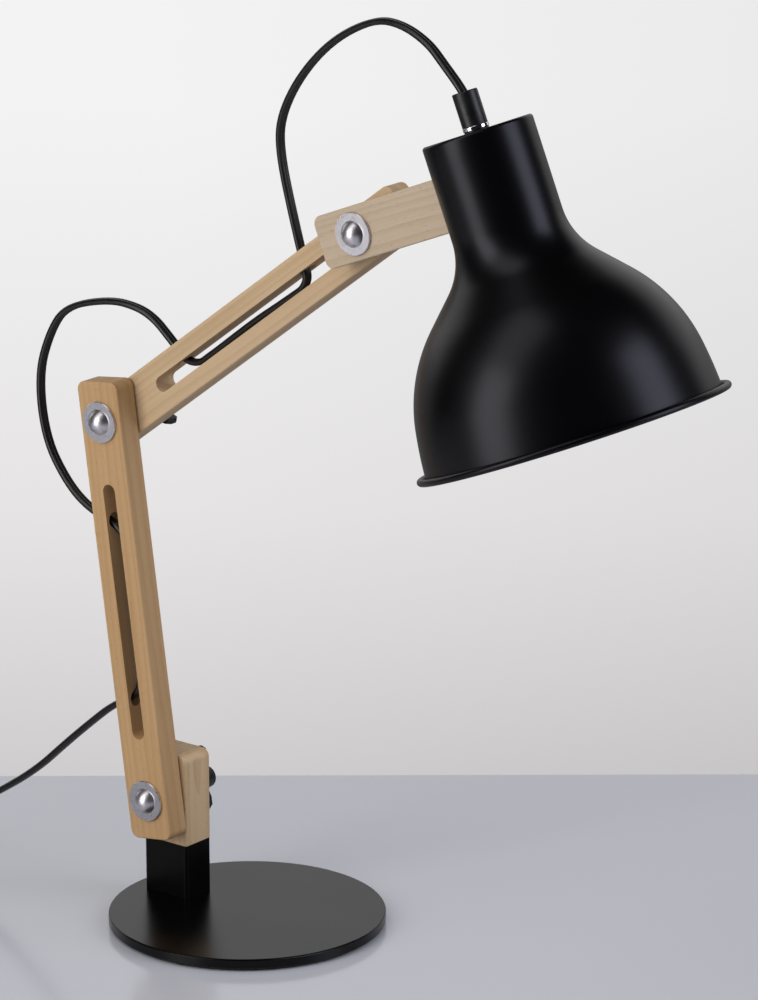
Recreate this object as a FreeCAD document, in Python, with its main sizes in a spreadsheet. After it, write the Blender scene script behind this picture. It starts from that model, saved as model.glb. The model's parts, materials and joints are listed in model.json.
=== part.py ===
import FreeCAD, Part

import math
import os

import Sketcher

Vector = FreeCAD.Vector
Rotation = FreeCAD.Rotation
Placement = FreeCAD.Placement

# Desk lamp with two slotted wooden arms, a wooden head link and a spun bell shade.
# Frame: +Z up, +X towards the shade, pivots along Y, origin under the centre of the base.
# Sizes are in millimetres and degrees. In each pair of positions, "along" runs from a bar's
# lower pivot to its upper one and "across" is measured from the bar's centre line.

SIZES = [
    # round base and its pad
    ("base_diameter", 160), ("base_thickness", 6), ("base_edge_round", 0.8),
    ("pad_thickness", 1.5), ("pad_margin", 3),
    # rectangular steel post with a threaded foot inside
    ("post_offset", -53.4), ("post_set_back", 1), ("post_width", 32), ("post_depth", 22),
    ("post_wall", 1.5), ("post_corner", 2), ("post_length", 32.5), ("foot_height", 12),
    ("foot_chamfer", 1), ("foot_screw_spacing", 16), ("screw_radius", 2.5),
    ("screw_head_radius", 5), ("screw_length", 15), ("screw_gap", 0.08),
    # wooden block that stands in the post and carries the base pivot
    ("block_rise", 54.4), ("block_shoulder_round", 5), ("block_edge_round", 1.5),
    ("tenon_depth", 20), ("tenon_gap", 0.15), ("pivot_rise", 29.3),
    ("block_screw_drop", 8), ("block_screw_length", 9), ("button_radius", 4.5),
    ("button_height", 2.4), ("button_side", 0.8), ("button_top_radius", 2.5),
    # wooden bars
    ("bar_height", 30), ("bar_thickness", 15), ("bar_corner", 5), ("bar_edge_round", 1),
    ("lower_reach", 223.5), ("lower_angle", 97.82), ("lower_end", 23.25),
    ("upper_reach", 232), ("upper_angle", 36.73), ("upper_end", 24.2),
    ("link_reach", 98), ("link_angle", 21.98), ("link_end", 26),
    ("slot_width", 9), ("slot_margin", 36.5),
    ("cord_hole_chamfer", 0.9), ("lower_cord_rise", 58.9), ("lower_cord_drop", 59.1),
    ("upper_cord_rise", 58.6), ("upper_cord_drop", 60.8),
    # pivot hardware
    ("bolt_radius", 4), ("bolt_fit", 0.075), ("bolt_tail", 1.5), ("dome_radius", 7.5),
    ("dome_height", 4.7), ("washer_radius", 12), ("washer_thickness", 1.6),
    ("washer_bore", 4.2), ("washer_chamfer", 0.25), ("friction_thickness", 1),
    ("hub_radius", 8), ("hub_top_radius", 5.2), ("hub_height", 15.5), ("wing_span", 38.5),
    ("wing_height", 15), ("wing_thickness", 3.4), ("wing_round", 1.2), ("ear_sink", 0.4),
    ("ear_foot_drop", 12.4), ("ear_neck_drop", 4.3), ("ear_under_drop", 9),
    ("ear_under_inset", 1.5), ("ear_side_low", 6.4), ("ear_side_high", 2.8),
    ("ear_top_outer", 2.2), ("ear_top_inner", 5.5),
    ("base_nut_turn", 98), ("elbow_nut_turn", -19), ("wrist_nut_turn", 22),
    # spun bell shade, measured down from the top of its neck
    ("shade_roll", 1.2), ("neck_rise", 32.85), ("neck_radius", 30.75),
    ("neck_edge_round", 1.8), ("flare_start", 52.6), ("flare_radius", 37.5),
    ("flare_angle", 44.1), ("cone_run", 20.4), ("shoulder_radius", 90.8),
    ("skirt_angle", 9.1), ("skirt_radius", 245),
    ("shade_height", 170.8), ("shade_wall", 1), ("bead_gap", 1), ("bead_radius", 2),
    ("link_screw_spread", 8), ("link_screw_radius", 2), ("link_screw_length", 24),
    ("link_screw_head_radius", 3.8), ("link_screw_head_height", 2.2),
    ("link_screw_top_radius", 2.3),
    # cord grip on the neck and the threaded nipple through it
    ("nipple_radius", 5), ("nipple_bore", 3.6), ("nipple_rise", 12), ("nipple_drop", 13),
    ("thread_gap", 0.05), ("collar_radius", 6.8), ("collar_height", 0.6),
    ("ring_radius", 7.2), ("ring_height", 2.2), ("grip_radius", 7.05), ("grip_height", 19),
    ("grip_bore", 3.6), ("grip_edge_round", 0.8),
    ("locknut_radius", 8), ("locknut_height", 3),
    # lamp holder and bulb
    ("holder_radius", 19.5), ("holder_wall", 2), ("holder_cap_height", 20),
    ("holder_cap_top", 3), ("holder_cap_round", 3), ("holder_body_height", 34),
    ("core_radius", 16), ("core_height", 5), ("core_lip", 2),
    ("shell_radius", 14.1), ("shell_wall", 0.5), ("shell_height", 24),
    ("contact_radius", 3), ("contact_height", 2),
    ("bulb_cap_radius", 13.3), ("bulb_cap_height", 23), ("bulb_tip_radius", 4),
    ("bulb_tip_height", 3.5), ("bulb_cap_taper", 2), ("bulb_cap_wall", 0.5),
    ("bulb_collar_radius", 14.5), ("bulb_body_height", 34), ("bulb_body_radius", 25),
    ("bulb_wall", 1.2), ("bulb_plate_gap", 0.9), ("globe_radius", 30),
    # cord, its switch, coil and plug
    ("cord_width", 6), ("cord_thickness", 3.8),
    ("switch_length", 56), ("switch_width", 24), ("switch_base_height", 5),
    ("switch_cover_height", 9), ("switch_wall", 2), ("switch_round", 6),
    ("switch_cord_gap", 0.2), ("rocker_length", 18), ("rocker_width", 10),
    ("rocker_gap", 0.7), ("rocker_rise", 1.6), ("rocker_low_rise", 0.3), ("rocker_dip", 0.2),
    ("rocker_depth", 4.5), ("rocker_keel", 2), ("rocker_pin_radius", 1),
    ("rocker_pin_lift", 1.2), ("rocker_pin_gap", 0.1),
    ("coil_radius", 31), ("coil_section", 7), ("tie_width", 12), ("tie_thickness", 1),
    ("plug_length", 36), ("plug_width", 26), ("plug_height", 13.7), ("plug_round", 4),
    ("pin_radius", 2), ("pin_length", 19), ("pin_spacing", 18.6), ("pin_tip_round", 1.2),
    ("relief_length", 20), ("relief_radius", 4.5), ("relief_tip_radius", 3.4),
]

# Cord routes in millimetres, as points of the centre line, chosen by hand.
HEAD_LOOP = [
    (186.0, -18.9, 483.6), (177.4, -19.4, 505.0), (173.1, -19.6, 515.6),
    (156.9, -17.9, 529.7), (146.0, -16.3, 538.7), (127.9, -15.0, 546.1),
    (108.0, -13.8, 546.7), (77.3, -11.8, 531.5), (51.8, -9.4, 507.7), (35.4, -7.2, 481.6),
    (32.9, -5.0, 461.0), (39.6, -2.5, 426.5), (45.8, -2.5, 406.2),
]
UPPER_RUN = [
    (45.8, -2.5, 406.2), (48.002, -2.5, 398.99), (50.3, -2.5, 391.8), (47.2, -2.5, 385.4),
    (41.0, -2.5, 381.0), (28.0, -2.5, 371.8), (15.5, -2.5, 363.3), (0.8, -2.5, 352.2),
    (-14.0, -2.5, 340.7), (-22.0, -2.5, 334.8), (-28.1, -2.5, 330.2),
    (-35.8, -2.5, 329.2), (-41.9, -2.5, 332.8), (-46.8, -2.5, 337.1),
]
ELBOW_LOOP = [
    (-46.8, -2.5, 337.1), (-52.68, -2.5, 342.26), (-61.5, -3.2, 350.3),
    (-72.9, -4.4, 355.6), (-92.5, -6.2, 357.3), (-124.0, -8.5, 348.8),
    (-135.8, -9.8, 331.6), (-143.5, -11.8, 305.4), (-136.6, -14.4, 269.4),
    (-118.2, -17.2, 247.2), (-101.0, -18.5, 235.4), (-91.0, -18.5, 232.6),
]
LOWER_RUN = [
    (-91.0, -18.5, 232.6), (-78.0, -18.5, 228.96), (-72.2, -18.5, 221.9),
    (-70.9, -18.5, 208.2), (-67.8, -18.5, 178.4), (-62.6, -18.5, 150.8),
    (-61.9, -18.5, 137.4), (-65.8, -18.5, 129.2), (-76.0, -18.5, 123.5),
]
TAIL = [
    (-76.0, -18.5, 123.5), (-84.67, -18.5, 118.655), (-97.5, -18.5, 108.4),
    (-120.0, -18.5, 89.2), (-147.0, -18.5, 64.6), (-186.5, -18.5, 39.0),
    (-222.0, -18.5, 17.9), (-248.0, -18.5, 5.3), (-266.0, -18.5, 2.0),
    (-280.0, -18.5, 2.0),
]
FLOOR_LEAD = [
    (-280.0, -18.5, 2.0), (-294.0, -18.5, 2.0), (-309.0, -27.0, 2.0), (-319.0, -42.0, 2.0),
    (-323.8, -60.0, 3.0), (-324.0, -75.0, 4.8), (-324.0, -87.0, 5.0),
]
COIL_LEAD = [
    (-324.0, -137.0, 5.0), (-324.0, -146.0, 4.7), (-321.0, -156.0, 3.0),
    (-312.0, -163.5, 2.1), (-296.0, -166.5, 2.0), (-272.0, -164.5, 2.1),
    (-250.0, -162.0, 2.9),
]
PLUG_LEAD = [
    (-226.0, -160.0, 5.5), (-212.0, -158.0, 3.2), (-197.0, -157.5, 2.2),
    (-183.0, -160.0, 3.3), (-170.0, -163.6, 6.0), (-158.0, -164.0, 6.85),
]
SWITCH_START = Vector(-324.0, -84.0, 0)
COIL_CENTRE = Vector(-245.0, -128.0, 0)
PLUG_START = Vector(-158.0, -164.0, 0)

doc = FreeCAD.newDocument("swing_arm_lamp")
sheet = doc.addObject("Spreadsheet::Sheet", "Size")
for row, (alias, number) in enumerate(SIZES, start=1):
    sheet.set(f"A{row}", alias)
    sheet.set(f"B{row}", str(number))
    sheet.setAlias(f"B{row}", alias)
doc.recompute()

subparts = []


# ---------------------------------------------------------------- helpers

def size(expression):
    """Value of an expression of sheet aliases, such as Size.bar_height / 2."""
    return float(sheet.evalExpression(expression))


def keep(item, label, placement=None):
    """Name a finished sub-part, place it and list it for writing."""
    item.Label = label
    if placement is not None:
        item.Placement = placement
    subparts.append(item)
    return item


def new_body(label):
    return doc.addObject("PartDesign::Body", label)


def new_sketch(body, name, plane="XY_Plane", lift=None):
    """Sketch on one of the body's own planes, moved along its normal by an expression."""
    sketch = body.newObject("Sketcher::SketchObject", name)
    origin_plane = [p for p in body.Origin.OriginFeatures if p.Role == plane][0]
    sketch.AttachmentSupport = (origin_plane, [""])
    sketch.MapMode = "FlatFace"
    if lift is not None:
        sketch.setExpression("AttachmentOffset.Base.z", lift)
    return sketch


def bind(sketch, kind, *where, value):
    """Add one dimension and tie it to an expression."""
    index = sketch.addConstraint(Sketcher.Constraint(kind, *where, size(value)))
    sketch.setExpression(f"Constraints[{index}]", value)


def pin(sketch, geometry, end, across, up):
    """Fix one point of a sketch at a pair of expressions."""
    if across == "0":
        sketch.addConstraint(Sketcher.Constraint("PointOnObject", geometry, end, -2))
    else:
        bind(sketch, "DistanceX", -1, 1, geometry, end, value=across)
    if up == "0":
        sketch.addConstraint(Sketcher.Constraint("PointOnObject", geometry, end, -1))
    else:
        bind(sketch, "DistanceY", -1, 1, geometry, end, value=up)


def arc_between(start, end, radius):
    """Arc of a signed radius: a positive one turns left on its way from start to end."""
    chord = end - start
    height = math.sqrt(max(radius * radius - chord.Length ** 2 / 4, 0))
    left = Vector(-chord.y, chord.x, 0).normalize()
    centre = (start + end) / 2 + left * math.copysign(height, radius)
    circle = Part.Circle(centre, Vector(0, 0, 1), abs(radius))
    first, last = (start, end) if radius > 0 else (end, start)
    return Part.ArcOfCircle(circle, circle.parameter(first), circle.parameter(last))


def outline(sketch, corners):
    """Closed outline. Each corner is (x, y), or (x, y, radius) where an arc leads to it."""
    spots = [Vector(size(c[0]), size(c[1]), 0) for c in corners]
    ends = []
    for index, corner in enumerate(corners):
        start, end = spots[index - 1], spots[index]
        if len(corner) == 3:
            radius = size(corner[2])
            geometry = sketch.addGeometry(arc_between(start, end, radius))
            ends.append((geometry, 1, 2) if radius > 0 else (geometry, 2, 1))
        else:
            ends.append((sketch.addGeometry(Part.LineSegment(start, end)), 1, 2))
    for index, corner in enumerate(corners):
        geometry, _, last = ends[index]
        following, first, _ = ends[(index + 1) % len(ends)]
        sketch.addConstraint(
            Sketcher.Constraint("Coincident", geometry, last, following, first))
        pin(sketch, geometry, last, corner[0], corner[1])
        if len(corner) == 3:
            bind(sketch, "Radius", geometry, value=corner[2].lstrip("-"))


def circle(sketch, across, up, radius):
    spot = Vector(size(across), size(up), 0)
    geometry = sketch.addGeometry(Part.Circle(spot, Vector(0, 0, 1), size(radius)))
    pin(sketch, geometry, 3, across, up)
    bind(sketch, "Radius", geometry, value=radius)


def rectangle(sketch, left, right, bottom, top):
    outline(sketch, [(left, bottom), (right, bottom), (right, top), (left, top)])


def slot(sketch, first, last, radius, up="0"):
    """Round-ended slot between two end centres at one height."""
    left, right, level, bend = size(first), size(last), size(up), size(radius)
    normal = Vector(0, 0, 1)
    bottom = sketch.addGeometry(Part.LineSegment(
        Vector(left, level - bend, 0), Vector(right, level - bend, 0)))
    east = sketch.addGeometry(Part.ArcOfCircle(
        Part.Circle(Vector(right, level, 0), normal, bend), -math.pi / 2, math.pi / 2))
    top = sketch.addGeometry(Part.LineSegment(
        Vector(right, level + bend, 0), Vector(left, level + bend, 0)))
    west = sketch.addGeometry(Part.ArcOfCircle(
        Part.Circle(Vector(left, level, 0), normal, bend), math.pi / 2, 3 * math.pi / 2))
    chain = (bottom, east, top, west)
    for index, geometry in enumerate(chain):
        sketch.addConstraint(
            Sketcher.Constraint("Tangent", geometry, 2, chain[(index + 1) % 4], 1))
    sketch.addConstraint(Sketcher.Constraint("Equal", east, west))
    pin(sketch, east, 3, last, up)
    pin(sketch, west, 3, first, up)
    bind(sketch, "Radius", east, value=radius)


def pad(body, name, profile, length, reverse=False, both_ways=False):
    feature = body.newObject("PartDesign::Pad", name)
    feature.Profile = profile
    feature.setExpression("Length", length)
    feature.Reversed = reverse
    feature.Midplane = both_ways
    return feature


def pocket(body, name, profile, length=None, reverse=False, both_ways=False):
    """Cut to a depth, or right through both ways; the cut must take material away."""
    doc.recompute()
    before = body.Shape.Volume
    feature = body.newObject("PartDesign::Pocket", name)
    feature.Profile = profile
    if length is None:
        feature.Type = "ThroughAll"
        feature.Midplane = True
    else:
        feature.setExpression("Length", length)
        feature.Reversed = reverse
        feature.Midplane = both_ways
    doc.recompute()
    if not feature.Shape.Volume < before - 0.01:
        raise ValueError(f"{body.Name}: {name} cuts nothing")
    return feature


def dress(body, kind, name, value, chosen):
    """Fillet or chamfer the edges that a test picks."""
    doc.recompute()
    base = body.Tip
    edges = [f"Edge{i}" for i, edge in enumerate(base.Shape.Edges, 1) if chosen(edge)]
    feature = body.newObject(f"PartDesign::{kind}", name)
    feature.Base = (base, edges)
    feature.setExpression("Radius" if kind == "Fillet" else "Size", value)
    return feature


def edge_along(axis):
    """Test for straight edges that run along one axis."""
    def test(edge):
        if not isinstance(edge.Curve, Part.Line):
            return False
        return abs(edge.Curve.Direction.dot(axis)) > 0.999
    return test


def turned(label, corners, placement=None):
    """Body of revolution about its local Z from (radius, height) corners."""
    body = new_body(label)
    profile = new_sketch(body, f"{label}_profile", "XZ_Plane")
    outline(profile, corners)
    turn = body.newObject("PartDesign::Revolution", f"{label}_turn")
    turn.Profile = profile
    turn.ReferenceAxis = (profile, ["V_Axis"])
    turn.Angle = 360
    return keep(body, label, placement)


def tube(label, bore, radius, low, high, placement=None):
    """Ring between two radii and two heights."""
    return turned(label, [(bore, low), (radius, low), (radius, high), (bore, high)], placement)


def shape_part(label, shape, placement=None):
    feature = doc.addObject("Part::Feature", label)
    feature.Shape = shape
    return keep(feature, label, placement)


# ---------------------------------------------------------------- places

def leaning(origin, angle):
    """Frame whose x axis rises from +X by an angle, and whose y axis stays along Y."""
    return Placement(origin, Rotation(Vector(0, -1, 0), angle))


POST_TOP = size("Size.pad_thickness + Size.base_thickness + Size.post_length")
BASE_PIVOT = Vector(size("Size.post_offset"), 0, POST_TOP + size("Size.pivot_rise"))
LOWER = leaning(BASE_PIVOT, size("Size.lower_angle"))
ELBOW = LOWER.multVec(Vector(size("Size.lower_reach"), 0, 0))
UPPER = leaning(ELBOW, size("Size.upper_angle"))
WRIST = UPPER.multVec(Vector(size("Size.upper_reach"), 0, 0))
LINK = leaning(WRIST, size("Size.link_angle"))

# The lower arm and the link lie in front of the block and of the upper arm.
POST_FRONT = "(Size.post_set_back - Size.post_depth / 2)"
FRONT = f"({POST_FRONT} - Size.friction_thickness - Size.bar_thickness)"
FRONT_MIDDLE = f"({POST_FRONT} - Size.friction_thickness - Size.bar_thickness / 2)"
UPPER_MIDDLE = f"({POST_FRONT} + Size.bar_thickness / 2)"

# Where the link's centre line meets the shade's axis. The shade is screwed on a little
# turned about the link's own length, so that its neck leans to the front.
SEAT = LINK * Placement(
    Vector(size("Size.link_reach"), size(FRONT_MIDDLE), 0),
    Rotation(Vector(1, 0, 0), size("Size.shade_roll")))
# Frame of everything on the shade's axis, with z pointing down from the top of the neck.
HEAD = SEAT * Placement(Vector(0, 0, size("Size.neck_rise")), Rotation(Vector(1, 0, 0), 180))


# ---------------------------------------------------------------- base and post

def build_base():
    radius = "Size.base_diameter / 2"
    low = "Size.pad_thickness"
    top = "(Size.pad_thickness + Size.base_thickness)"
    edge = "Size.base_edge_round"
    plate = new_body("base_plate")
    profile = new_sketch(plate, "plate_profile", "XZ_Plane")
    outline(profile, [
        ("0", low), (f"{radius} - {edge}", low), (radius, f"{low} + {edge}", edge),
        (radius, f"{top} - {edge}"), (f"{radius} - {edge}", top, edge), ("0", top),
    ])
    turn = plate.newObject("PartDesign::Revolution", "plate_turn")
    turn.Profile = profile
    turn.ReferenceAxis = (profile, ["V_Axis"])
    turn.Angle = 360
    holes = new_sketch(plate, "screw_holes")
    for side in (-1, 1):
        circle(holes, f"Size.post_offset + {side} * Size.foot_screw_spacing / 2",
               "Size.post_set_back",
               "Size.screw_radius + Size.screw_gap")
    pocket(plate, "screw_hole_cut", holes)
    head = "Size.screw_head_radius - Size.screw_radius"
    for side, name in ((-1, "left"), (1, "right")):
        seat = plate.newObject("PartDesign::SubtractiveCone", f"{name}_countersink")
        seat.setExpression("Radius1", "Size.screw_head_radius + Size.screw_gap")
        seat.setExpression("Radius2", "Size.screw_radius + Size.screw_gap")
        seat.setExpression("Height", head)
        seat.Placement = Placement(
            Vector(size(f"Size.post_offset + {side} * Size.foot_screw_spacing / 2"),
                   size("Size.post_set_back"), size(low)), Rotation())
    keep(plate, "base_plate")
    turned("base_pad", [("0", "0"), (f"{radius} - Size.pad_margin", "0"),
                        (f"{radius} - Size.pad_margin", low), ("0", low)])


def build_post():
    """Rectangular tube, and the threaded block in its lower end."""
    low = "Size.pad_thickness + Size.base_thickness"
    wall = "Size.post_wall"
    tube_body = new_body("post_tube")
    section = new_sketch(tube_body, "tube_section", lift=low)
    rectangle(section, "-Size.post_width / 2", "Size.post_width / 2",
              "-Size.post_depth / 2", "Size.post_depth / 2")
    pad(tube_body, "tube_pad", section, "Size.post_length")
    dress(tube_body, "Fillet", "outer_corners", "Size.post_corner",
          edge_along(Vector(0, 0, 1)))
    bore = new_sketch(tube_body, "tube_bore", lift=low)
    rectangle(bore, f"-Size.post_width / 2 + {wall}", f"Size.post_width / 2 - {wall}",
              f"-Size.post_depth / 2 + {wall}", f"Size.post_depth / 2 - {wall}")
    pocket(tube_body, "bore_cut", bore, "Size.post_length", reverse=True)
    hole = new_sketch(tube_body, "block_screw_hole", "XZ_Plane")
    circle(hole, "0", f"{low} + Size.post_length - Size.block_screw_drop",
           "Size.screw_radius + Size.screw_gap")
    pocket(tube_body, "block_screw_cut", hole, "Size.post_depth")
    at_post = Placement(Vector(size("Size.post_offset"), size("Size.post_set_back"), 0),
                        Rotation())
    keep(tube_body, "post_tube", at_post)

    foot = new_body("post_foot")
    section = new_sketch(foot, "foot_section", lift=low)
    rectangle(section, f"-Size.post_width / 2 + {wall}", f"Size.post_width / 2 - {wall}",
              f"-Size.post_depth / 2 + {wall}", f"Size.post_depth / 2 - {wall}")
    pad(foot, "foot_pad", section, "Size.foot_height")
    dress(foot, "Chamfer", "foot_corners", "Size.foot_chamfer", edge_along(Vector(0, 0, 1)))
    holes = new_sketch(foot, "foot_holes", lift=low)
    for side in (-1, 1):
        circle(holes, f"{side} * Size.foot_screw_spacing / 2", "0",
               "Size.screw_radius + Size.thread_gap")
    pocket(foot, "foot_hole_cut", holes)
    keep(foot, "post_foot", at_post)


def build_post_screws():
    """Two countersunk screws from below, as one node."""
    head, shank = size("Size.screw_head_radius"), size("Size.screw_radius")
    solids = []
    for side in (-1, 1):
        spot = Vector(size(f"Size.post_offset + {side} * Size.foot_screw_spacing / 2"),
                      size("Size.post_set_back"), size("Size.pad_thickness"))
        cone = Part.makeCone(head, shank, head - shank, spot)
        stem = Part.makeCylinder(shank, size("Size.screw_length"), spot)
        solids.append(cone.fuse(stem).removeSplitter())
    shape_part("post_screws", Part.makeCompound(solids))


def build_block():
    """Wooden block with a tenon that drops into the post."""
    block = new_body("pivot_block")
    across = "Size.post_width / 2"
    deep = "Size.post_depth / 2"
    shrink = "Size.post_wall + Size.tenon_gap"
    section = new_sketch(block, "block_section")
    rectangle(section, f"-{across}", across, f"-{deep}", deep)
    pad(block, "block_pad", section, "Size.block_rise")
    doc.recompute()
    side_edge = edge_along(Vector(0, 1, 0))
    dress(block, "Fillet", "shoulders", "Size.block_shoulder_round",
          lambda e: side_edge(e) and e.BoundBox.ZMin > size("Size.block_rise") / 2)
    doc.recompute()
    dress(block, "Fillet", "eased_edges", "Size.block_edge_round",
          lambda e: e.BoundBox.ZMax > 0.01 and e.BoundBox.YLength < 0.01)
    tenon = new_sketch(block, "tenon_section")
    rectangle(tenon, f"-{across} + {shrink}", f"{across} - ({shrink})",
              f"-{deep} + {shrink}", f"{deep} - ({shrink})")
    pad(block, "tenon_pad", tenon, "Size.tenon_depth", reverse=True)
    bore = new_sketch(block, "pivot_bore", "XZ_Plane")
    circle(bore, "0", "Size.pivot_rise", "Size.bolt_radius + Size.bolt_fit")
    pocket(block, "pivot_bore_cut", bore)
    hole = new_sketch(block, "block_screw_bore", "XZ_Plane")
    circle(hole, "0", "-Size.block_screw_drop", "Size.screw_radius")
    pocket(block, "block_screw_cut", hole, "Size.post_depth")
    keep(block, "pivot_block", Placement(
        Vector(size("Size.post_offset"), size("Size.post_set_back"), POST_TOP), Rotation()))
    # The screw enters from the back of the tube; its local z points out of the tube.
    turned("block_screw", [
        ("0", "-Size.block_screw_length"), ("Size.screw_radius", "-Size.block_screw_length"),
        ("Size.screw_radius", "0"), ("Size.button_radius", "0"),
        ("Size.button_radius", "Size.button_side"),
        ("Size.button_top_radius", "Size.button_height"), ("0", "Size.button_height"),
    ], Placement(Vector(size("Size.post_offset"),
                        size("Size.post_set_back + Size.post_depth / 2"),
                        POST_TOP - size("Size.block_screw_drop")),
                 Rotation(Vector(1, 0, 0), -90)))


# ---------------------------------------------------------------- arms and link

def build_arm(label, frame, reach, end, middle, cord_low, cord_high):
    """Slotted bar with a bolt hole at each pivot and two cord holes through its upper rail."""
    arm = new_body(label)
    half = "Size.bar_height / 2"
    section = new_sketch(arm, f"{label}_section", "XZ_Plane", lift=f"-({middle})")
    rectangle(section, f"-{end}", f"{reach} + {end}", f"-{half}", half)
    pad(arm, f"{label}_pad", section, "Size.bar_thickness", both_ways=True)
    dress(arm, "Fillet", f"{label}_corners", "Size.bar_corner", edge_along(Vector(0, 1, 0)))
    dress(arm, "Fillet", f"{label}_edges", "Size.bar_edge_round",
          lambda e: e.BoundBox.YLength < 0.01)
    window = new_sketch(arm, f"{label}_window", "XZ_Plane")
    slot(window, "Size.slot_margin + Size.slot_width / 2",
         f"{reach} - Size.slot_margin - Size.slot_width / 2", "Size.slot_width / 2")
    pocket(arm, f"{label}_slot", window)
    bores = new_sketch(arm, f"{label}_bores", "XZ_Plane")
    circle(bores, "0", "0", "Size.bolt_radius + Size.bolt_fit")
    circle(bores, reach, "0", "Size.bolt_radius + Size.bolt_fit")
    pocket(arm, f"{label}_bore_cut", bores)
    cords = new_sketch(arm, f"{label}_cord_holes", lift=half)
    circle(cords, cord_low, middle, "Size.slot_width / 2")
    circle(cords, cord_high, middle, "Size.slot_width / 2")
    pocket(arm, f"{label}_cord_cut", cords, half)
    dress(arm, "Chamfer", f"{label}_cord_mouths", "Size.cord_hole_chamfer",
          lambda e: isinstance(e.Curve, Part.Circle)
          and abs(e.Curve.Radius - size("Size.slot_width / 2")) < 1e-6
          and e.BoundBox.ZLength < 1e-6)
    return keep(arm, label, frame)


def build_link():
    """Plain bar whose end is coped to the round neck of the shade."""
    link = new_body("head_link")
    half = "Size.bar_height / 2"
    section = new_sketch(link, "link_section", "XZ_Plane", lift=f"-({FRONT_MIDDLE})")
    rectangle(section, "-Size.link_end", "Size.link_reach", f"-{half}", half)
    pad(link, "link_pad", section, "Size.bar_thickness", both_ways=True)
    doc.recompute()
    upright = edge_along(Vector(0, 1, 0))
    dress(link, "Fillet", "link_corners", "Size.bar_corner",
          lambda e: upright(e) and e.BoundBox.XMax < 0)
    doc.recompute()
    shade_end = size("Size.link_reach - Size.bar_edge_round")
    dress(link, "Fillet", "link_edges", "Size.bar_edge_round",
          lambda e: e.BoundBox.YLength < 0.01 and e.BoundBox.XMin < shade_end)
    cope = new_sketch(link, "link_cope")
    cope.AttachmentOffset = Placement(
        Vector(0, size(FRONT_MIDDLE), 0), Rotation(Vector(1, 0, 0), size("Size.shade_roll")))
    cope.setExpression("AttachmentOffset.Base.y", FRONT_MIDDLE)
    cope.setExpression("AttachmentOffset.Rotation.Angle", "Size.shade_roll")
    circle(cope, "Size.link_reach", "0", "Size.neck_radius")
    pocket(link, "link_cope_cut", cope)
    bore = new_sketch(link, "link_bore", "XZ_Plane")
    circle(bore, "0", "0", "Size.bolt_radius + Size.bolt_fit")
    pocket(link, "link_bore_cut", bore)
    pilots = new_sketch(link, "link_pilots", "YZ_Plane", lift="Size.link_reach")
    for side in (-1, 1):
        circle(pilots,
               f"{FRONT_MIDDLE} - {side} * Size.link_screw_spread * sin(Size.shade_roll)",
               f"{side} * Size.link_screw_spread * cos(Size.shade_roll)",
               "Size.link_screw_radius")
    pocket(link, "link_pilot_cut", pilots,
           "Size.neck_radius - Size.shade_wall + Size.link_screw_length")
    keep(link, "head_link", LINK)


# ---------------------------------------------------------------- pivot hardware

def build_pivot(name, frame, along, back_depth, nut_turn):
    """Bolt with a domed head in front, washers, and a wing nut behind.

    Local z points out of the front bar's face, so every height behind it is negative.
    """
    centre = frame.multVec(Vector(size(along), size(FRONT), 0))
    place = Placement(centre, frame.Rotation * Rotation(Vector(1, 0, 0), 90))
    stack = f"(Size.bar_thickness + Size.friction_thickness + {back_depth})"
    rear = f"(-{stack} - Size.washer_thickness)"
    thick = "Size.washer_thickness"
    cut = "Size.washer_chamfer"

    def washer(label, low, high):
        turned(f"{name}_{label}", [
            ("Size.washer_bore", low), (f"Size.washer_radius - {cut}", low),
            ("Size.washer_radius", f"{low} + {cut}"), ("Size.washer_radius", f"{high} - {cut}"),
            (f"Size.washer_radius - {cut}", high), ("Size.washer_bore", high),
        ], place)

    washer("front_washer", "0", thick)
    washer("rear_washer", rear, f"-{stack}")
    tube(f"{name}_friction_washer", "Size.washer_bore", "Size.washer_radius",
         "(-Size.bar_thickness - Size.friction_thickness)", "(-Size.bar_thickness)", place)
    dome = "((Size.dome_radius ^ 2 + Size.dome_height ^ 2) / (2 * Size.dome_height))"
    turned(f"{name}_bolt", [
        ("0", f"{rear} - Size.hub_height - Size.bolt_tail"),
        ("Size.bolt_radius", f"{rear} - Size.hub_height - Size.bolt_tail"),
        ("Size.bolt_radius", thick), ("Size.dome_radius", thick),
        ("0", f"{thick} + Size.dome_height", dome),
    ], place)
    turn = Placement(centre, Rotation(Vector(1, 0, 0), 90)
                     * Rotation(Vector(0, 0, 1), size(nut_turn)))
    build_wing_nut(f"{name}_wing_nut", turn * Placement(Vector(0, 0, size(rear)),
                                                        Rotation(Vector(1, 0, 0), 180)))


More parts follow.
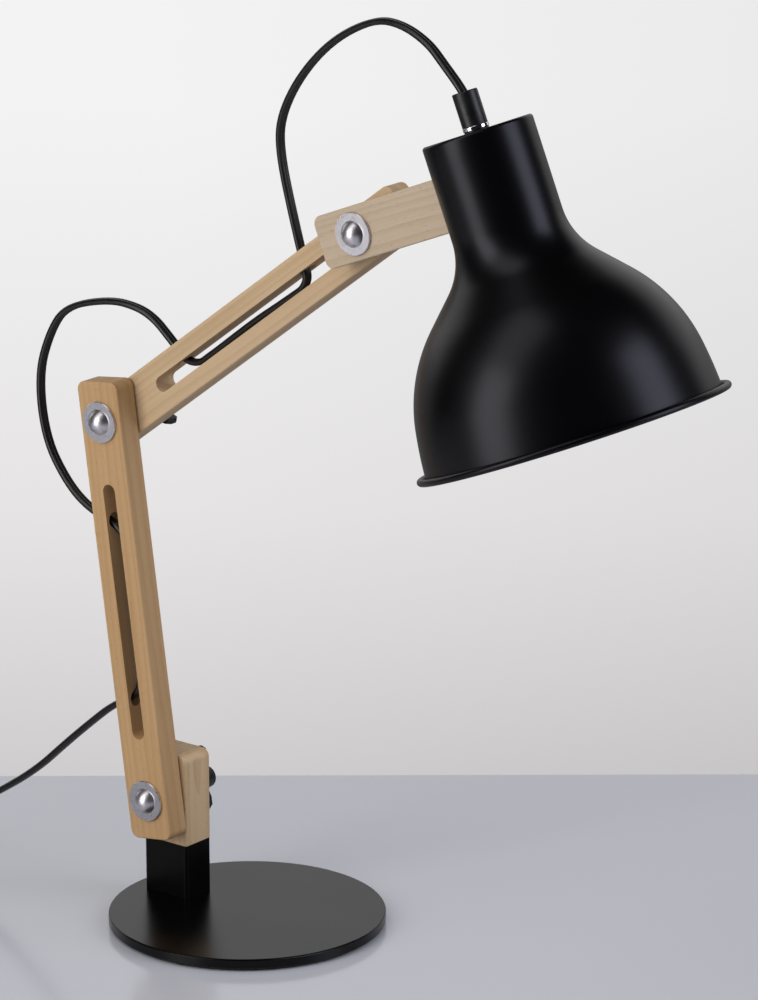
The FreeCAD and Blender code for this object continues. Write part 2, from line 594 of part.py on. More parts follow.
def build_wing_nut(label, placement):
    """Tapered hub with two ears, bored for the bolt; local z points away from the washer."""
    nut = new_body(label)
    profile = new_sketch(nut, f"{label}_hub", "XZ_Plane")
    bore = "(Size.bolt_radius + Size.bolt_fit)"
    edge = "Size.wing_round"
    outline(profile, [
        (bore, "0"), ("Size.hub_radius", "0"), ("Size.hub_radius", edge),
        (f"Size.hub_top_radius + {edge}", f"Size.hub_height - {edge}"),
        ("Size.hub_top_radius", "Size.hub_height", edge), (bore, "Size.hub_height"),
    ])
    turn = nut.newObject("PartDesign::Revolution", f"{label}_turn")
    turn.Profile = profile
    turn.ReferenceAxis = (profile, ["V_Axis"])
    turn.Angle = 360
    root = "(Size.hub_top_radius - Size.ear_sink)"
    foot = "(Size.hub_height - Size.ear_foot_drop)"
    tip = "Size.wing_span / 2"
    top = "Size.wing_height"
    for side, mark in (("left", "-"), ("right", "")):
        ear = new_sketch(nut, f"{label}_{side}_ear", "XZ_Plane")
        outline(ear, [
            (f"{mark}{root}", foot),
            (f"{mark}(Size.hub_radius - Size.ear_sink)", foot),
            (f"{mark}({tip} - Size.ear_under_inset)", f"{top} - Size.ear_under_drop"),
            (f"{mark}({tip})", f"{top} - Size.ear_side_low"),
            (f"{mark}({tip})", f"{top} - Size.ear_side_high"),
            (f"{mark}({tip} - Size.ear_top_outer)", top),
            (f"{mark}({tip} - Size.ear_top_inner)", top),
            (f"{mark}{root}", "Size.hub_height - Size.ear_neck_drop"),
        ])
        pad(nut, f"{label}_{side}_pad", ear, "Size.wing_thickness", both_ways=True)
        doc.recompute()
    broad = size("Size.wing_thickness / 2")
    beyond = size("Size.hub_radius")
    dress(nut, "Fillet", f"{label}_eased", edge,
          lambda e: max(abs(e.BoundBox.XMin), abs(e.BoundBox.XMax)) > beyond
          and min(abs(e.BoundBox.XMin), abs(e.BoundBox.XMax)) > beyond - 0.1
          and e.BoundBox.YLength < 1e-6 and abs(abs(e.BoundBox.YMin) - broad) < 1e-6)
    keep(nut, label, placement)


# ---------------------------------------------------------------- shade

def shade_joints(wall):
    """Corners of the shade's curve, moved inwards by a wall, as (radius, depth) pairs."""
    flare, skirt = "Size.flare_angle", "Size.skirt_angle"
    r_neck = "Size.neck_radius"
    r_cone = f"({r_neck} + Size.flare_radius * (1 - cos({flare})))"
    d_cone = f"(Size.flare_start + Size.flare_radius * sin({flare}))"
    r_shoulder = f"({r_cone} + Size.cone_run * sin({flare}))"
    d_shoulder = f"({d_cone} + Size.cone_run * cos({flare}))"
    r_skirt = f"({r_shoulder} + Size.shoulder_radius * (cos({skirt}) - cos({flare})))"
    d_skirt = f"({d_shoulder} + Size.shoulder_radius * (sin({flare}) - sin({skirt})))"
    d_rim = "(Size.shade_height - Size.shade_wall)"
    rim = f"asin(sin({skirt}) - ({d_rim} - {d_skirt}) / Size.skirt_radius)"
    r_rim = f"({r_skirt} + Size.skirt_radius * (cos({rim}) - cos({skirt})))"

    def inwards(radius, depth, angle):
        return (f"({radius} - {wall} * cos({angle}))", f"({depth} + {wall} * sin({angle}))")

    return [
        (f"({r_neck} - {wall})", "Size.flare_start"),
        inwards(r_cone, d_cone, flare), inwards(r_shoulder, d_shoulder, flare),
        inwards(r_skirt, d_skirt, skirt), inwards(r_rim, d_rim, rim),
    ]


def build_shade():
    """Spun bell with a closed neck, a turned-out flange and a rolled bead at the rim."""
    wall = "Size.shade_wall"
    edge = "Size.neck_edge_round"
    hole = "(Size.nipple_radius + Size.thread_gap)"
    bead = "Size.bead_radius"
    out = shade_joints("0")
    inner = shade_joints(wall)
    rim_radius = out[4][0]
    ring = f"({rim_radius} + Size.bead_gap + {bead})"
    shade = new_body("shade")
    profile = new_sketch(shade, "shade_profile", "XZ_Plane")
    outline(profile, [
        (hole, "0"), (f"Size.neck_radius - {edge}", "0"),
        ("Size.neck_radius", edge, edge), out[0],
        (*out[1], "-Size.flare_radius"), out[2],
        (*out[3], "Size.shoulder_radius"), (*out[4], "Size.skirt_radius"),
        (ring, f"Size.shade_height - {wall}"), (ring, "Size.shade_height"),
        (inner[4][0], "Size.shade_height"), inner[4],
        (*inner[3], f"-(Size.skirt_radius - {wall})"),
        (*inner[2], f"-(Size.shoulder_radius - {wall})"), inner[1],
        (*inner[0], f"(Size.flare_radius + {wall})"),
        (f"Size.neck_radius - {wall}", edge),
        (f"Size.neck_radius - {edge}", wall, f"-({edge} - {wall})"), (hole, wall),
    ])
    turn = shade.newObject("PartDesign::Revolution", "shade_turn")
    turn.Profile = profile
    turn.ReferenceAxis = (profile, ["V_Axis"])
    turn.Angle = 360
    section = new_sketch(shade, "bead_section", "XZ_Plane")
    circle(section, ring, f"Size.shade_height - {bead}", bead)
    roll = shade.newObject("PartDesign::Revolution", "bead_turn")
    roll.Profile = section
    roll.ReferenceAxis = (section, ["V_Axis"])
    roll.Angle = 360
    # The head frame is turned over, so the link lies on its -X side as in the link's own.
    holes = new_sketch(shade, "link_screw_holes", "YZ_Plane")
    for side in (-1, 1):
        circle(holes, "0", f"Size.neck_rise + {side} * Size.link_screw_spread",
               "Size.link_screw_radius + Size.screw_gap")
    pocket(shade, "link_screw_cut", holes, "Size.neck_radius")
    keep(shade, "shade", HEAD)


def build_link_screws():
    """Two wood screws from inside the neck into the end of the link, as one node."""
    inside = size("Size.neck_radius - Size.shade_wall")
    head = size("Size.link_screw_head_height")
    solids = []
    for side in (-1, 1):
        depth = size(f"Size.neck_rise + {side} * Size.link_screw_spread")
        start = Vector(-inside, 0, depth)
        stem = Part.makeCylinder(size("Size.link_screw_radius"),
                                 size("Size.link_screw_length"), start, Vector(-1, 0, 0))
        flat = inside - math.sqrt(inside ** 2 - size("Size.link_screw_head_radius") ** 2)
        seat = start + Vector(flat, 0, 0)
        cap = Part.makeCone(size("Size.link_screw_head_radius"),
                            size("Size.link_screw_top_radius"), head, seat,
                            Vector(1, 0, 0))
        neck = Part.makeCylinder(size("Size.link_screw_radius"), flat, start, Vector(1, 0, 0))
        solids.append(stem.fuse([neck, cap]).removeSplitter())
    shape_part("link_screws", Part.makeCompound(solids), HEAD)


# ---------------------------------------------------------------- holder and bulb

def build_grip():
    """Collar, ring and cord grip on the neck, and the nipple and locknut that clamp them."""
    thread = "(Size.nipple_radius + Size.thread_gap)"
    collar_top = "(-Size.collar_height)"
    ring_top = "(-Size.collar_height - Size.ring_height)"
    grip_top = f"({ring_top} - Size.grip_height)"
    edge = "Size.grip_edge_round"
    tube("cord_collar", thread, "Size.collar_radius", collar_top, "0", HEAD)
    turned("ring", [
        (thread, ring_top), (f"Size.ring_radius - {edge} / 2", ring_top),
        ("Size.ring_radius", f"{ring_top} + {edge} / 2", f"{edge} / 2"),
        ("Size.ring_radius", f"{collar_top} - {edge} / 2"),
        (f"Size.ring_radius - {edge} / 2", collar_top, f"{edge} / 2"),
        (thread, collar_top),
    ], HEAD)
    turned("cord_grip", [
        ("Size.grip_bore", grip_top), (f"Size.grip_radius - {edge}", grip_top),
        ("Size.grip_radius", f"{grip_top} + {edge}", edge), ("Size.grip_radius", ring_top),
        (thread, ring_top), (thread, "(-Size.nipple_rise)"),
        ("Size.grip_bore", "(-Size.nipple_rise)"),
    ], HEAD)
    tube("nipple", "Size.nipple_bore", "Size.nipple_radius", "(-Size.nipple_rise)",
         "Size.nipple_drop", HEAD)
    locknut = new_body("locknut")
    section = new_sketch(locknut, "locknut_section", lift="Size.shade_wall")
    corner = "Size.locknut_radius"
    outline(section, [
        (f"{corner} * cos({60 * k})", f"{corner} * sin({60 * k})") if k % 3 else
        (f"{corner} * cos({60 * k})", "0") for k in range(6)])
    circle(section, "0", "0", thread)
    pad(locknut, "locknut_pad", section, "Size.locknut_height")
    keep(locknut, "locknut", HEAD)


CAP_TOP = "(Size.shade_wall + Size.locknut_height)"
BODY_TOP = f"({CAP_TOP} + Size.holder_cap_height)"
CORE_LOW = f"({BODY_TOP} + Size.holder_wall + Size.core_height)"


def build_holder():
    """Two-part lamp holder with its insulating core, threaded shell and contact."""
    thread = "(Size.nipple_radius + Size.thread_gap)"
    outer = "Size.holder_radius"
    inner = "(Size.holder_radius - Size.holder_wall)"
    mouth = "Size.core_radius - Size.core_lip"
    bend = "Size.holder_cap_round"
    turned("holder_cap", [
        (thread, CAP_TOP), (f"{outer} - {bend}", CAP_TOP), (outer, f"{CAP_TOP} + {bend}", bend),
        (outer, BODY_TOP), (inner, BODY_TOP), (inner, f"{CAP_TOP} + Size.holder_cap_top"),
        (thread, f"{CAP_TOP} + Size.holder_cap_top"),
    ], HEAD)
    low = f"({BODY_TOP} + Size.holder_body_height)"
    turned("holder_body", [
        (mouth, BODY_TOP), (outer, BODY_TOP), (outer, low), (inner, low),
        (inner, f"{BODY_TOP} + Size.holder_wall"), (mouth, f"{BODY_TOP} + Size.holder_wall"),
    ], HEAD)
    turned("holder_core", [
        ("0", f"{BODY_TOP} + Size.holder_wall"),
        ("Size.core_radius", f"{BODY_TOP} + Size.holder_wall"),
        ("Size.core_radius", CORE_LOW), ("0", CORE_LOW),
    ], HEAD)
    tube("holder_shell", "Size.shell_radius - Size.shell_wall", "Size.shell_radius",
         CORE_LOW, f"{CORE_LOW} + Size.shell_height", HEAD)
    turned("holder_contact", [
        ("0", CORE_LOW), ("Size.contact_radius", CORE_LOW),
        ("Size.contact_radius", f"{CORE_LOW} + Size.contact_height / 2"),
        ("0", f"{CORE_LOW} + Size.contact_height"),
    ], HEAD)


def build_bulb():
    """Screw cap with its insulated tip, a hollow collar, a lit plate and a thin globe."""
    tip = f"({CORE_LOW} + Size.contact_height)"
    cap = f"({tip} + Size.bulb_tip_height)"
    base = f"({cap} + Size.bulb_cap_height)"
    low = f"({base} + Size.bulb_body_height)"
    metal = "Size.bulb_cap_wall"
    taper = "Size.bulb_cap_taper"
    narrow = f"(Size.bulb_cap_radius - {taper})"
    wall = "Size.bulb_wall"
    turned("bulb_tip", [("0", tip), ("Size.bulb_tip_radius", tip), (narrow, cap), ("0", cap)],
           HEAD)
    turned("bulb_cap", [
        (f"{narrow} - {metal}", cap), (narrow, cap), ("Size.bulb_cap_radius", f"{cap} + {taper}"),
        ("Size.bulb_cap_radius", base), (f"Size.bulb_cap_radius - {metal}", base),
        (f"Size.bulb_cap_radius - {metal}", f"{cap} + {taper}"),
    ], HEAD)
    turned("bulb_collar", [
        (f"Size.bulb_collar_radius - {wall}", base), ("Size.bulb_collar_radius", base),
        ("Size.bulb_body_radius", low), (f"Size.bulb_body_radius - {wall}", low),
    ], HEAD)
    tube("bulb_plate", "Size.contact_radius",
         f"Size.bulb_body_radius - {wall} - Size.bulb_plate_gap", f"{low} - {wall}", low, HEAD)
    rise = "sqrt(Size.globe_radius ^ 2 - Size.bulb_body_radius ^ 2)"
    inside = f"(Size.globe_radius - {wall})"
    turned("bulb_globe", [
        (f"sqrt({inside} ^ 2 - {rise} ^ 2)", low, f"-{inside}"),
        ("Size.bulb_body_radius", low),
        ("0", f"{low} + {rise} + Size.globe_radius", "Size.globe_radius"),
        ("0", f"{low} + {rise} + {inside}"),
    ], HEAD)


# ---------------------------------------------------------------- cord

def rounded_path(points):
    """Straight runs joined by the largest tangent arcs that their lengths allow."""
    spots = [Vector(*point) for point in points]
    edges, radii = [], []
    start = spots[0]
    for before, corner, after in zip(spots, spots[1:], spots[2:]):
        into = (corner - before).normalize()
        out = (after - corner).normalize()
        turn = into.getAngle(out)
        share = 0.45 * min((corner - before).Length, (after - corner).Length)
        radius = share / math.tan(turn / 2)
        radii.append(radius)
        first, last = corner - into * share, corner + out * share
        bisector = (out - into).normalize()
        middle = corner + bisector * (radius / math.cos(turn / 2) - radius)
        edges.append(Part.LineSegment(start, first).toShape())
        edges.append(Part.Arc(first, middle, last).toShape())
        start = last
    edges.append(Part.LineSegment(start, spots[-1]).toShape())
    return Part.Wire(edges), radii


def build_cord(label, points, axis, lies_flat=False):
    """Twin cord with rounded edges, its broad side along the axis, or square to it."""
    path, radii = rounded_path(points)
    half = size("Size.cord_thickness") / 2
    reach = size("Size.cord_width") / 2 - half
    start = Vector(*points[0])
    along = (Vector(*points[1]) - start).normalize()
    broad = (axis - along * axis.dot(along)).normalize()
    if lies_flat:
        broad = along.cross(broad)
    thin = along.cross(broad)

    def spot(across, up):
        return start + broad * across + thin * up

    section = Part.Wire([
        Part.LineSegment(spot(-reach, -half), spot(reach, -half)).toShape(),
        Part.Arc(spot(reach, -half), spot(reach + half, 0), spot(reach, half)).toShape(),
        Part.LineSegment(spot(reach, half), spot(-reach, half)).toShape(),
        Part.Arc(spot(-reach, half), spot(-reach - half, 0), spot(-reach, -half)).toShape(),
    ])
    sweep = Part.BRepOffsetAPI.MakePipeShell(path)
    sweep.setBiNormalMode(axis)
    sweep.setTransitionMode(1)
    sweep.add(section)
    sweep.build()
    sweep.makeSolid()
    solid = sweep.shape()
    area = Part.Face(section).Area
    print(label, "length", round(path.Length, 1), "radii", [round(r, 1) for r in radii],
          "volume ratio", round(solid.Volume / (area * path.Length), 4))
    shape_part(label, solid)


def build_switch():
    """Inline switch on the floor: base, cover and rocker. Local x runs along the cord."""
    place = Placement(SWITCH_START, Rotation(Vector(0, 0, 1), -90))
    half = "Size.switch_width / 2"
    span = "Size.switch_length"
    wall = "Size.switch_wall"
    split = "Size.switch_base_height"
    gap = "Size.switch_cord_gap"

    def shell(label, floor, height, open_up):
        body = new_body(label)
        section = new_sketch(body, f"{label}_section", lift=floor)
        rectangle(section, "0", span, f"-{half}", half)
        pad(body, f"{label}_pad", section, height)
        dress(body, "Fillet", f"{label}_corners", "Size.switch_round",
              edge_along(Vector(0, 0, 1)))
        room = new_sketch(body, f"{label}_room",
                          lift=f"{floor} + {wall}" if open_up else floor)
        rectangle(room, wall, f"{span} - {wall}", f"-{half} + {wall}", f"{half} - {wall}")
        pocket(body, f"{label}_room_cut", room, f"{height} - {wall}", reverse=True)
        mouth = new_sketch(body, f"{label}_mouth", "YZ_Plane")
        reach = "(Size.cord_width - Size.cord_thickness) / 2"
        tall = f"(Size.cord_thickness / 2 + {gap})"
        slot(mouth, f"-{reach}", reach, tall, up=split)
        pocket(body, f"{label}_mouth_cut", mouth, span, reverse=True)
        return body

    keep(shell("switch_base", "0", split, True), "switch_base", place)
    cover = shell("switch_cover", split, "Size.switch_cover_height", False)
    window = new_sketch(cover, "rocker_window", lift=f"{split} + Size.switch_cover_height")
    middle = f"{span} / 2"
    rectangle(window, f"{middle} - Size.rocker_length / 2 - Size.rocker_gap",
              f"{middle} + Size.rocker_length / 2 + Size.rocker_gap",
              "-Size.rocker_width / 2 - Size.rocker_gap",
              "Size.rocker_width / 2 + Size.rocker_gap")
    pocket(cover, "rocker_window_cut", window, wall)
    keep(cover, "switch_cover", place)

    rocker = new_body("switch_rocker")
    side = new_sketch(rocker, "rocker_side", "XZ_Plane")
    top = f"{split} + Size.switch_cover_height"
    keel = f"{top} - Size.rocker_depth"
    outline(side, [
        (f"{middle} - Size.rocker_length / 2", f"{keel} + Size.rocker_keel"), (middle, keel),
        (f"{middle} + Size.rocker_length / 2", f"{keel} + Size.rocker_keel"),
        (f"{middle} + Size.rocker_length / 2", f"{top} + Size.rocker_low_rise"),
        (middle, f"{top} + Size.rocker_dip"),
        (f"{middle} - Size.rocker_length / 2", f"{top} + Size.rocker_rise"),
    ])
    pad(rocker, "rocker_pad", side, "Size.rocker_width", both_ways=True)
    pins = new_sketch(rocker, "rocker_pins", "XZ_Plane")
    circle(pins, middle, f"{keel} + Size.rocker_pin_lift", "Size.rocker_pin_radius")
    pad(rocker, "rocker_pin_pad", pins,
        f"Size.switch_width - 2 * {wall} - 2 * Size.rocker_pin_gap", both_ways=True)
    keep(rocker, "switch_rocker", place)


def build_coil():
    """Closed outer shape of the coiled cord, and the band that ties it."""
    radius, section = size("Size.coil_radius"), size("Size.coil_section")
    lift = section + size("Size.tie_thickness")
    coil = doc.addObject("Part::Torus", "cord_coil")
    coil.setExpression("Radius1", "Size.coil_radius")
    coil.setExpression("Radius2", "Size.coil_section")
    keep(coil, "cord_coil", Placement(COIL_CENTRE + Vector(0, 0, lift), Rotation()))
    spot = COIL_CENTRE + Vector(-size("Size.tie_width") / 2, radius, lift)
    band = Part.makeCylinder(lift, size("Size.tie_width"), spot, Vector(1, 0, 0))
    ring = Part.makeTorus(radius, section, COIL_CENTRE + Vector(0, 0, lift))
    shape_part("coil_tie", band.cut(ring))


def build_plug():
    """Flat two-pin plug with its strain relief; local x runs along the cord to the pins."""
    middle = size("Size.plug_height / 2")
    place = Placement(PLUG_START + Vector(0, 0, middle), Rotation())
    tip = "Size.relief_tip_radius"
    turned("plug_relief", [
        ("0", "0"), (tip, "0"), ("Size.relief_radius", "Size.relief_length"),
        ("0", "Size.relief_length"),
    ], place * Placement(Vector(), Rotation(Vector(0, 1, 0), 90)))
    body = new_body("plug_body")
    section = new_sketch(body, "plug_section", "YZ_Plane", lift="Size.relief_length")
    rectangle(section, "-Size.plug_width / 2", "Size.plug_width / 2",
              "-Size.plug_height / 2", "Size.plug_height / 2")
    pad(body, "plug_pad", section, "Size.plug_length")
    dress(body, "Fillet", "plug_long_edges", "Size.plug_round", edge_along(Vector(1, 0, 0)))
    keep(body, "plug_body", place)
    pins = []
    for side in (-1, 1):
        spot = Vector(size("Size.relief_length + Size.plug_length"),
                      side * size("Size.pin_spacing / 2"), 0)
        pin_solid = Part.makeCylinder(size("Size.pin_radius"), size("Size.pin_length"),
                                      spot, Vector(1, 0, 0))
        rounded = [e for e in pin_solid.Edges
                   if isinstance(e.Curve, Part.Circle) and e.BoundBox.XMin > spot.x + 1]
        pins.append(pin_solid.makeFillet(size("Size.pin_tip_round"), rounded))
    shape_part("plug_pins", Part.makeCompound(pins), place)


# ---------------------------------------------------------------- the lamp

build_base()
build_post()
build_post_screws()
build_block()
build_arm("lower_arm", LOWER, "Size.lower_reach", "Size.lower_end", FRONT_MIDDLE,
          "Size.lower_cord_rise", "Size.lower_reach - Size.lower_cord_drop")
build_arm("upper_arm", UPPER, "Size.upper_reach", "Size.upper_end", UPPER_MIDDLE,
          "Size.upper_cord_rise", "Size.upper_reach - Size.upper_cord_drop")
build_link()
build_pivot("base", LOWER, "0", "Size.post_depth", "Size.base_nut_turn")
build_pivot("elbow", LOWER, "Size.lower_reach", "Size.bar_thickness", "Size.elbow_nut_turn")
build_pivot("wrist", LINK, "0", "Size.bar_thickness", "Size.wrist_nut_turn")
build_shade()
build_link_screws()
build_grip()
build_holder()
build_bulb()
SIDEWAYS = Vector(0, 1, 0)
UPWARDS = Vector(0, 0, 1)
build_cord("cord_head_loop", HEAD_LOOP, SIDEWAYS)
build_cord("cord_upper_run", UPPER_RUN, SIDEWAYS)
build_cord("cord_elbow_loop", ELBOW_LOOP, SIDEWAYS)
build_cord("cord_lower_run", LOWER_RUN, SIDEWAYS)
build_cord("cord_tail", TAIL, SIDEWAYS)
build_cord("cord_floor_lead", FLOOR_LEAD, UPWARDS, lies_flat=True)
build_cord("cord_coil_lead", COIL_LEAD, UPWARDS, lies_flat=True)
build_cord("cord_plug_lead", PLUG_LEAD, UPWARDS, lies_flat=True)
build_switch()
build_coil()
build_plug()

doc.recompute()
for item in doc.Objects:
    if "Invalid" in item.State or "Error" in item.State:
        raise ValueError(f"{item.Name} failed: {item.State}")
for item in subparts:
    if item.Shape.isNull() or not item.Shape.isValid():
        raise ValueError(f"{item.Label} has no valid shape")
os.makedirs("parts", exist_ok=True)
for item in subparts:
    item.Shape.exportStep(f"parts/{item.Label}.step")
print(len(subparts), "sub-parts written")
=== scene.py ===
"""Swing-arm desk lamp with slotted wooden arms, a spun bell shade and a threaded twin cord."""

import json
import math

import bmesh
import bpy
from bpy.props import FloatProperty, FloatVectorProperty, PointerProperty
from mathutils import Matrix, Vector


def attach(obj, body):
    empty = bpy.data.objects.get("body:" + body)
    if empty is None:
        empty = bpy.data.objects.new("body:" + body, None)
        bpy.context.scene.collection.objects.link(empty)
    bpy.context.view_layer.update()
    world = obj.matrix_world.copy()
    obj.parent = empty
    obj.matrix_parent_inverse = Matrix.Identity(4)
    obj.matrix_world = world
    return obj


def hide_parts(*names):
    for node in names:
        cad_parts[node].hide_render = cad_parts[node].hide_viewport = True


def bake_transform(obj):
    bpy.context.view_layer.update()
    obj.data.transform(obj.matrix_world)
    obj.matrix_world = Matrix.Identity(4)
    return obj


bl_info = {
    "name": "Swing-arm desk lamp",
    "version": (1, 0, 0),
    "blender": (4, 5, 0),
    "location": "View3D > Sidebar > Desk Lamp",
    "description": "Dresses the packed lamp: cords, shade, finishes and studio",
    "category": "Add Mesh",
}

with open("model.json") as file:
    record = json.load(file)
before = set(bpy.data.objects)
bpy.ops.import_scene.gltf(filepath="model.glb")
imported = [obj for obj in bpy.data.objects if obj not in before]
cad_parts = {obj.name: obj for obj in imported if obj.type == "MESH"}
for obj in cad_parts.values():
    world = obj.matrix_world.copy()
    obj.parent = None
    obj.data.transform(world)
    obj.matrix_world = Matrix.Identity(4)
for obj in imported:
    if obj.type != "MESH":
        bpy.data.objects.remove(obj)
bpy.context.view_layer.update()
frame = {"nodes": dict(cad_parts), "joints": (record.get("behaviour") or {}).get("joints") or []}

ACROSS = Vector((0, 1, 0))
UP = Vector((0, 0, 1))
# Cosine above which a face counts as looking along a direction.
FACES_ALONG = 0.9

# Cord routes in metres: control points of each stretch's centre line.
HEAD_LOOP = (
    (0.1860, -0.0189, 0.4836), (0.1774, -0.0194, 0.5050), (0.1731, -0.0196, 0.5156),
    (0.1569, -0.0179, 0.5297), (0.1460, -0.0163, 0.5387), (0.1279, -0.0150, 0.5461),
    (0.1080, -0.0138, 0.5467), (0.0773, -0.0118, 0.5315), (0.0518, -0.0094, 0.5077),
    (0.0354, -0.0072, 0.4816), (0.0329, -0.0050, 0.4610), (0.0396, -0.0025, 0.4265),
    (0.0458, -0.0025, 0.4062),
)
UPPER_RUN = (
    HEAD_LOOP[-1], (0.0480, -0.0025, 0.3990), (0.0503, -0.0025, 0.3918),
    (0.0472, -0.0025, 0.3854), (0.0410, -0.0025, 0.3810), (0.0280, -0.0025, 0.3718),
    (0.0155, -0.0025, 0.3633), (0.0008, -0.0025, 0.3522), (-0.0140, -0.0025, 0.3407),
    (-0.0220, -0.0025, 0.3348), (-0.0281, -0.0025, 0.3302), (-0.0358, -0.0025, 0.3292),
    (-0.0419, -0.0025, 0.3328), (-0.0468, -0.0025, 0.3371),
)
ELBOW_LOOP = (
    UPPER_RUN[-1], (-0.0527, -0.0025, 0.3423), (-0.0615, -0.0032, 0.3503),
    (-0.0729, -0.0044, 0.3556), (-0.0925, -0.0062, 0.3573), (-0.1240, -0.0085, 0.3488),
    (-0.1358, -0.0098, 0.3316), (-0.1435, -0.0118, 0.3054), (-0.1366, -0.0144, 0.2694),
    (-0.1182, -0.0172, 0.2472), (-0.1010, -0.0185, 0.2354), (-0.0910, -0.0185, 0.2326),
)
LOWER_RUN = (
    ELBOW_LOOP[-1], (-0.0780, -0.0185, 0.2290), (-0.0722, -0.0185, 0.2219),
    (-0.0709, -0.0185, 0.2082), (-0.0678, -0.0185, 0.1784), (-0.0626, -0.0185, 0.1508),
    (-0.0619, -0.0185, 0.1374), (-0.0658, -0.0185, 0.1292), (-0.0760, -0.0185, 0.1235),
)
TAIL = (
    LOWER_RUN[-1], (-0.0847, -0.0185, 0.1187), (-0.0975, -0.0185, 0.1084),
    (-0.1200, -0.0185, 0.0892), (-0.1470, -0.0185, 0.0646), (-0.1865, -0.0185, 0.0390),
    (-0.2220, -0.0185, 0.0179), (-0.2480, -0.0185, 0.0053), (-0.2660, -0.0185, 0.0020),
    (-0.2800, -0.0185, 0.0020),
)
FLOOR_LEAD = (
    TAIL[-1], (-0.2940, -0.0185, 0.0020), (-0.3090, -0.0270, 0.0020),
    (-0.3190, -0.0420, 0.0020), (-0.3238, -0.0600, 0.0030), (-0.3240, -0.0750, 0.0048),
    (-0.3240, -0.0870, 0.0050),
)
COIL_LEAD = (
    (-0.3240, -0.1370, 0.0050), (-0.3240, -0.1460, 0.0047), (-0.3210, -0.1560, 0.0034),
    (-0.3120, -0.1635, 0.0033), (-0.2960, -0.1668, 0.0033), (-0.2720, -0.1668, 0.0033),
)
PLUG_LEAD = (
    (-0.2120, -0.1590, 0.0062), (-0.1970, -0.1583, 0.0040), (-0.1830, -0.1605, 0.0042),
    (-0.1700, -0.1636, 0.0062), (-0.1580, -0.1640, 0.00685),
)
# Radius and height of the coil's centre line, from one turn to the next.
COIL_TURNS = (
    (0.0378, 0.0033), (0.0340, 0.0033), (0.0301, 0.0033), (0.0262, 0.0035),
    (0.0274, 0.0096), (0.0312, 0.0096), (0.0350, 0.0096), (0.0388, 0.0090),
)
COIL_CENTRE = Vector((-0.2450, -0.1280, 0))
# Where the leads meet the coil, and the control points in each of its turns.
COIL_ENTRY = math.radians(-98)
COIL_EXIT = math.radians(-66)
COIL_STEPS = 16
# How far the coil's turns stray in and out, and how fast as the angle grows.
COIL_STRAY = 0.0004
COIL_STRAY_RATE = 2.3
# Share of the coiled piece, at each end, over which the cord tips from flat to on edge.
TIP_SHARE = 0.05
# Samples from control point to control point, in a stretch and in the coiled piece.
STRETCH_SAMPLES = 6
COIL_SAMPLES = 4
# How far the round of each core runs either side of its outer edge, and its points.
CORE_HALF_ANGLE = math.radians(138)
CORE_POINTS = 11


# ---- settings

def metres(name, description, default):
    return FloatProperty(name=name, description=description, default=default, unit="LENGTH")


def degrees(name, description, default):
    """Angle setting, whose default is given in degrees."""
    return FloatProperty(name=name, description=description, default=math.radians(default),
                         unit="ROTATION")


def watts(name, description, default):
    return FloatProperty(name=name, description=description, default=default, unit="POWER")


def tint(name, description, default):
    """Colour setting, as linear values."""
    return FloatVectorProperty(name=name, description=description, default=default,
                               subtype="COLOR")


class LampSizes(bpy.types.PropertyGroup):
    """Sizes of the pieces that are modelled here."""

    cord_width: metres("Cord width", "Across both cores of the cord", 0.006)
    cord_thickness: metres("Cord thickness", "Across one core of the cord", 0.0038)
    link_angle: degrees("Link angle", "Slope of the head link above level", 21.98)
    link_reach: metres("Link reach", "From the wrist pivot to the shade's axis", 0.098)
    front_middle: metres("Front bar middle", "Middle of the front bars, along Y", -0.0185)
    shade_roll: degrees("Shade roll", "Shade's turn about the link's length", 1.2)
    neck_rise: metres("Neck rise", "Top of the neck above the link's centre line", 0.03285)
    neck_radius: metres("Neck radius", "Outer radius of the neck", 0.03075)
    neck_edge: metres("Neck edge", "Round between the neck's side and top", 0.0018)
    flare_start: metres("Flare start", "Depth at which the neck begins to open", 0.0526)
    flare_radius: metres("Flare radius", "Radius of the hollow curve below the neck", 0.0375)
    flare_angle: degrees("Flare angle", "Slope of the cone from the shade's axis", 44.1)
    cone_run: metres("Cone run", "Straight run of the cone", 0.0204)
    shoulder_radius: metres("Shoulder radius", "Radius of the bell's shoulder", 0.0908)
    skirt_angle: degrees("Skirt angle", "Slope where the shoulder meets the skirt", 9.1)
    skirt_radius: metres("Skirt radius", "Radius of the nearly straight skirt", 0.245)
    shade_height: metres("Shade height", "From the neck's top to the rim", 0.1708)
    shade_wall: metres("Shade wall", "Thickness of the spun metal", 0.001)
    bead_gap: metres("Bead gap", "Groove between the skirt and the rolled bead", 0.0010)
    bead_radius: metres("Bead radius", "Radius of the rolled bead", 0.0020)
    nipple_hole: metres("Nipple hole", "Radius of the hole in the neck's top", 0.00505)
    tie_width: metres("Tie width", "Width of the band round the coil", 0.012)
    tie_wall: metres("Tie thickness", "Thickness of the band round the coil", 0.0010)
    tie_slack: metres("Tie slack", "Room between the coil and the band", 0.0014)
    tie_round: metres("Tie corners", "Radius of the band's corners", 0.0040)


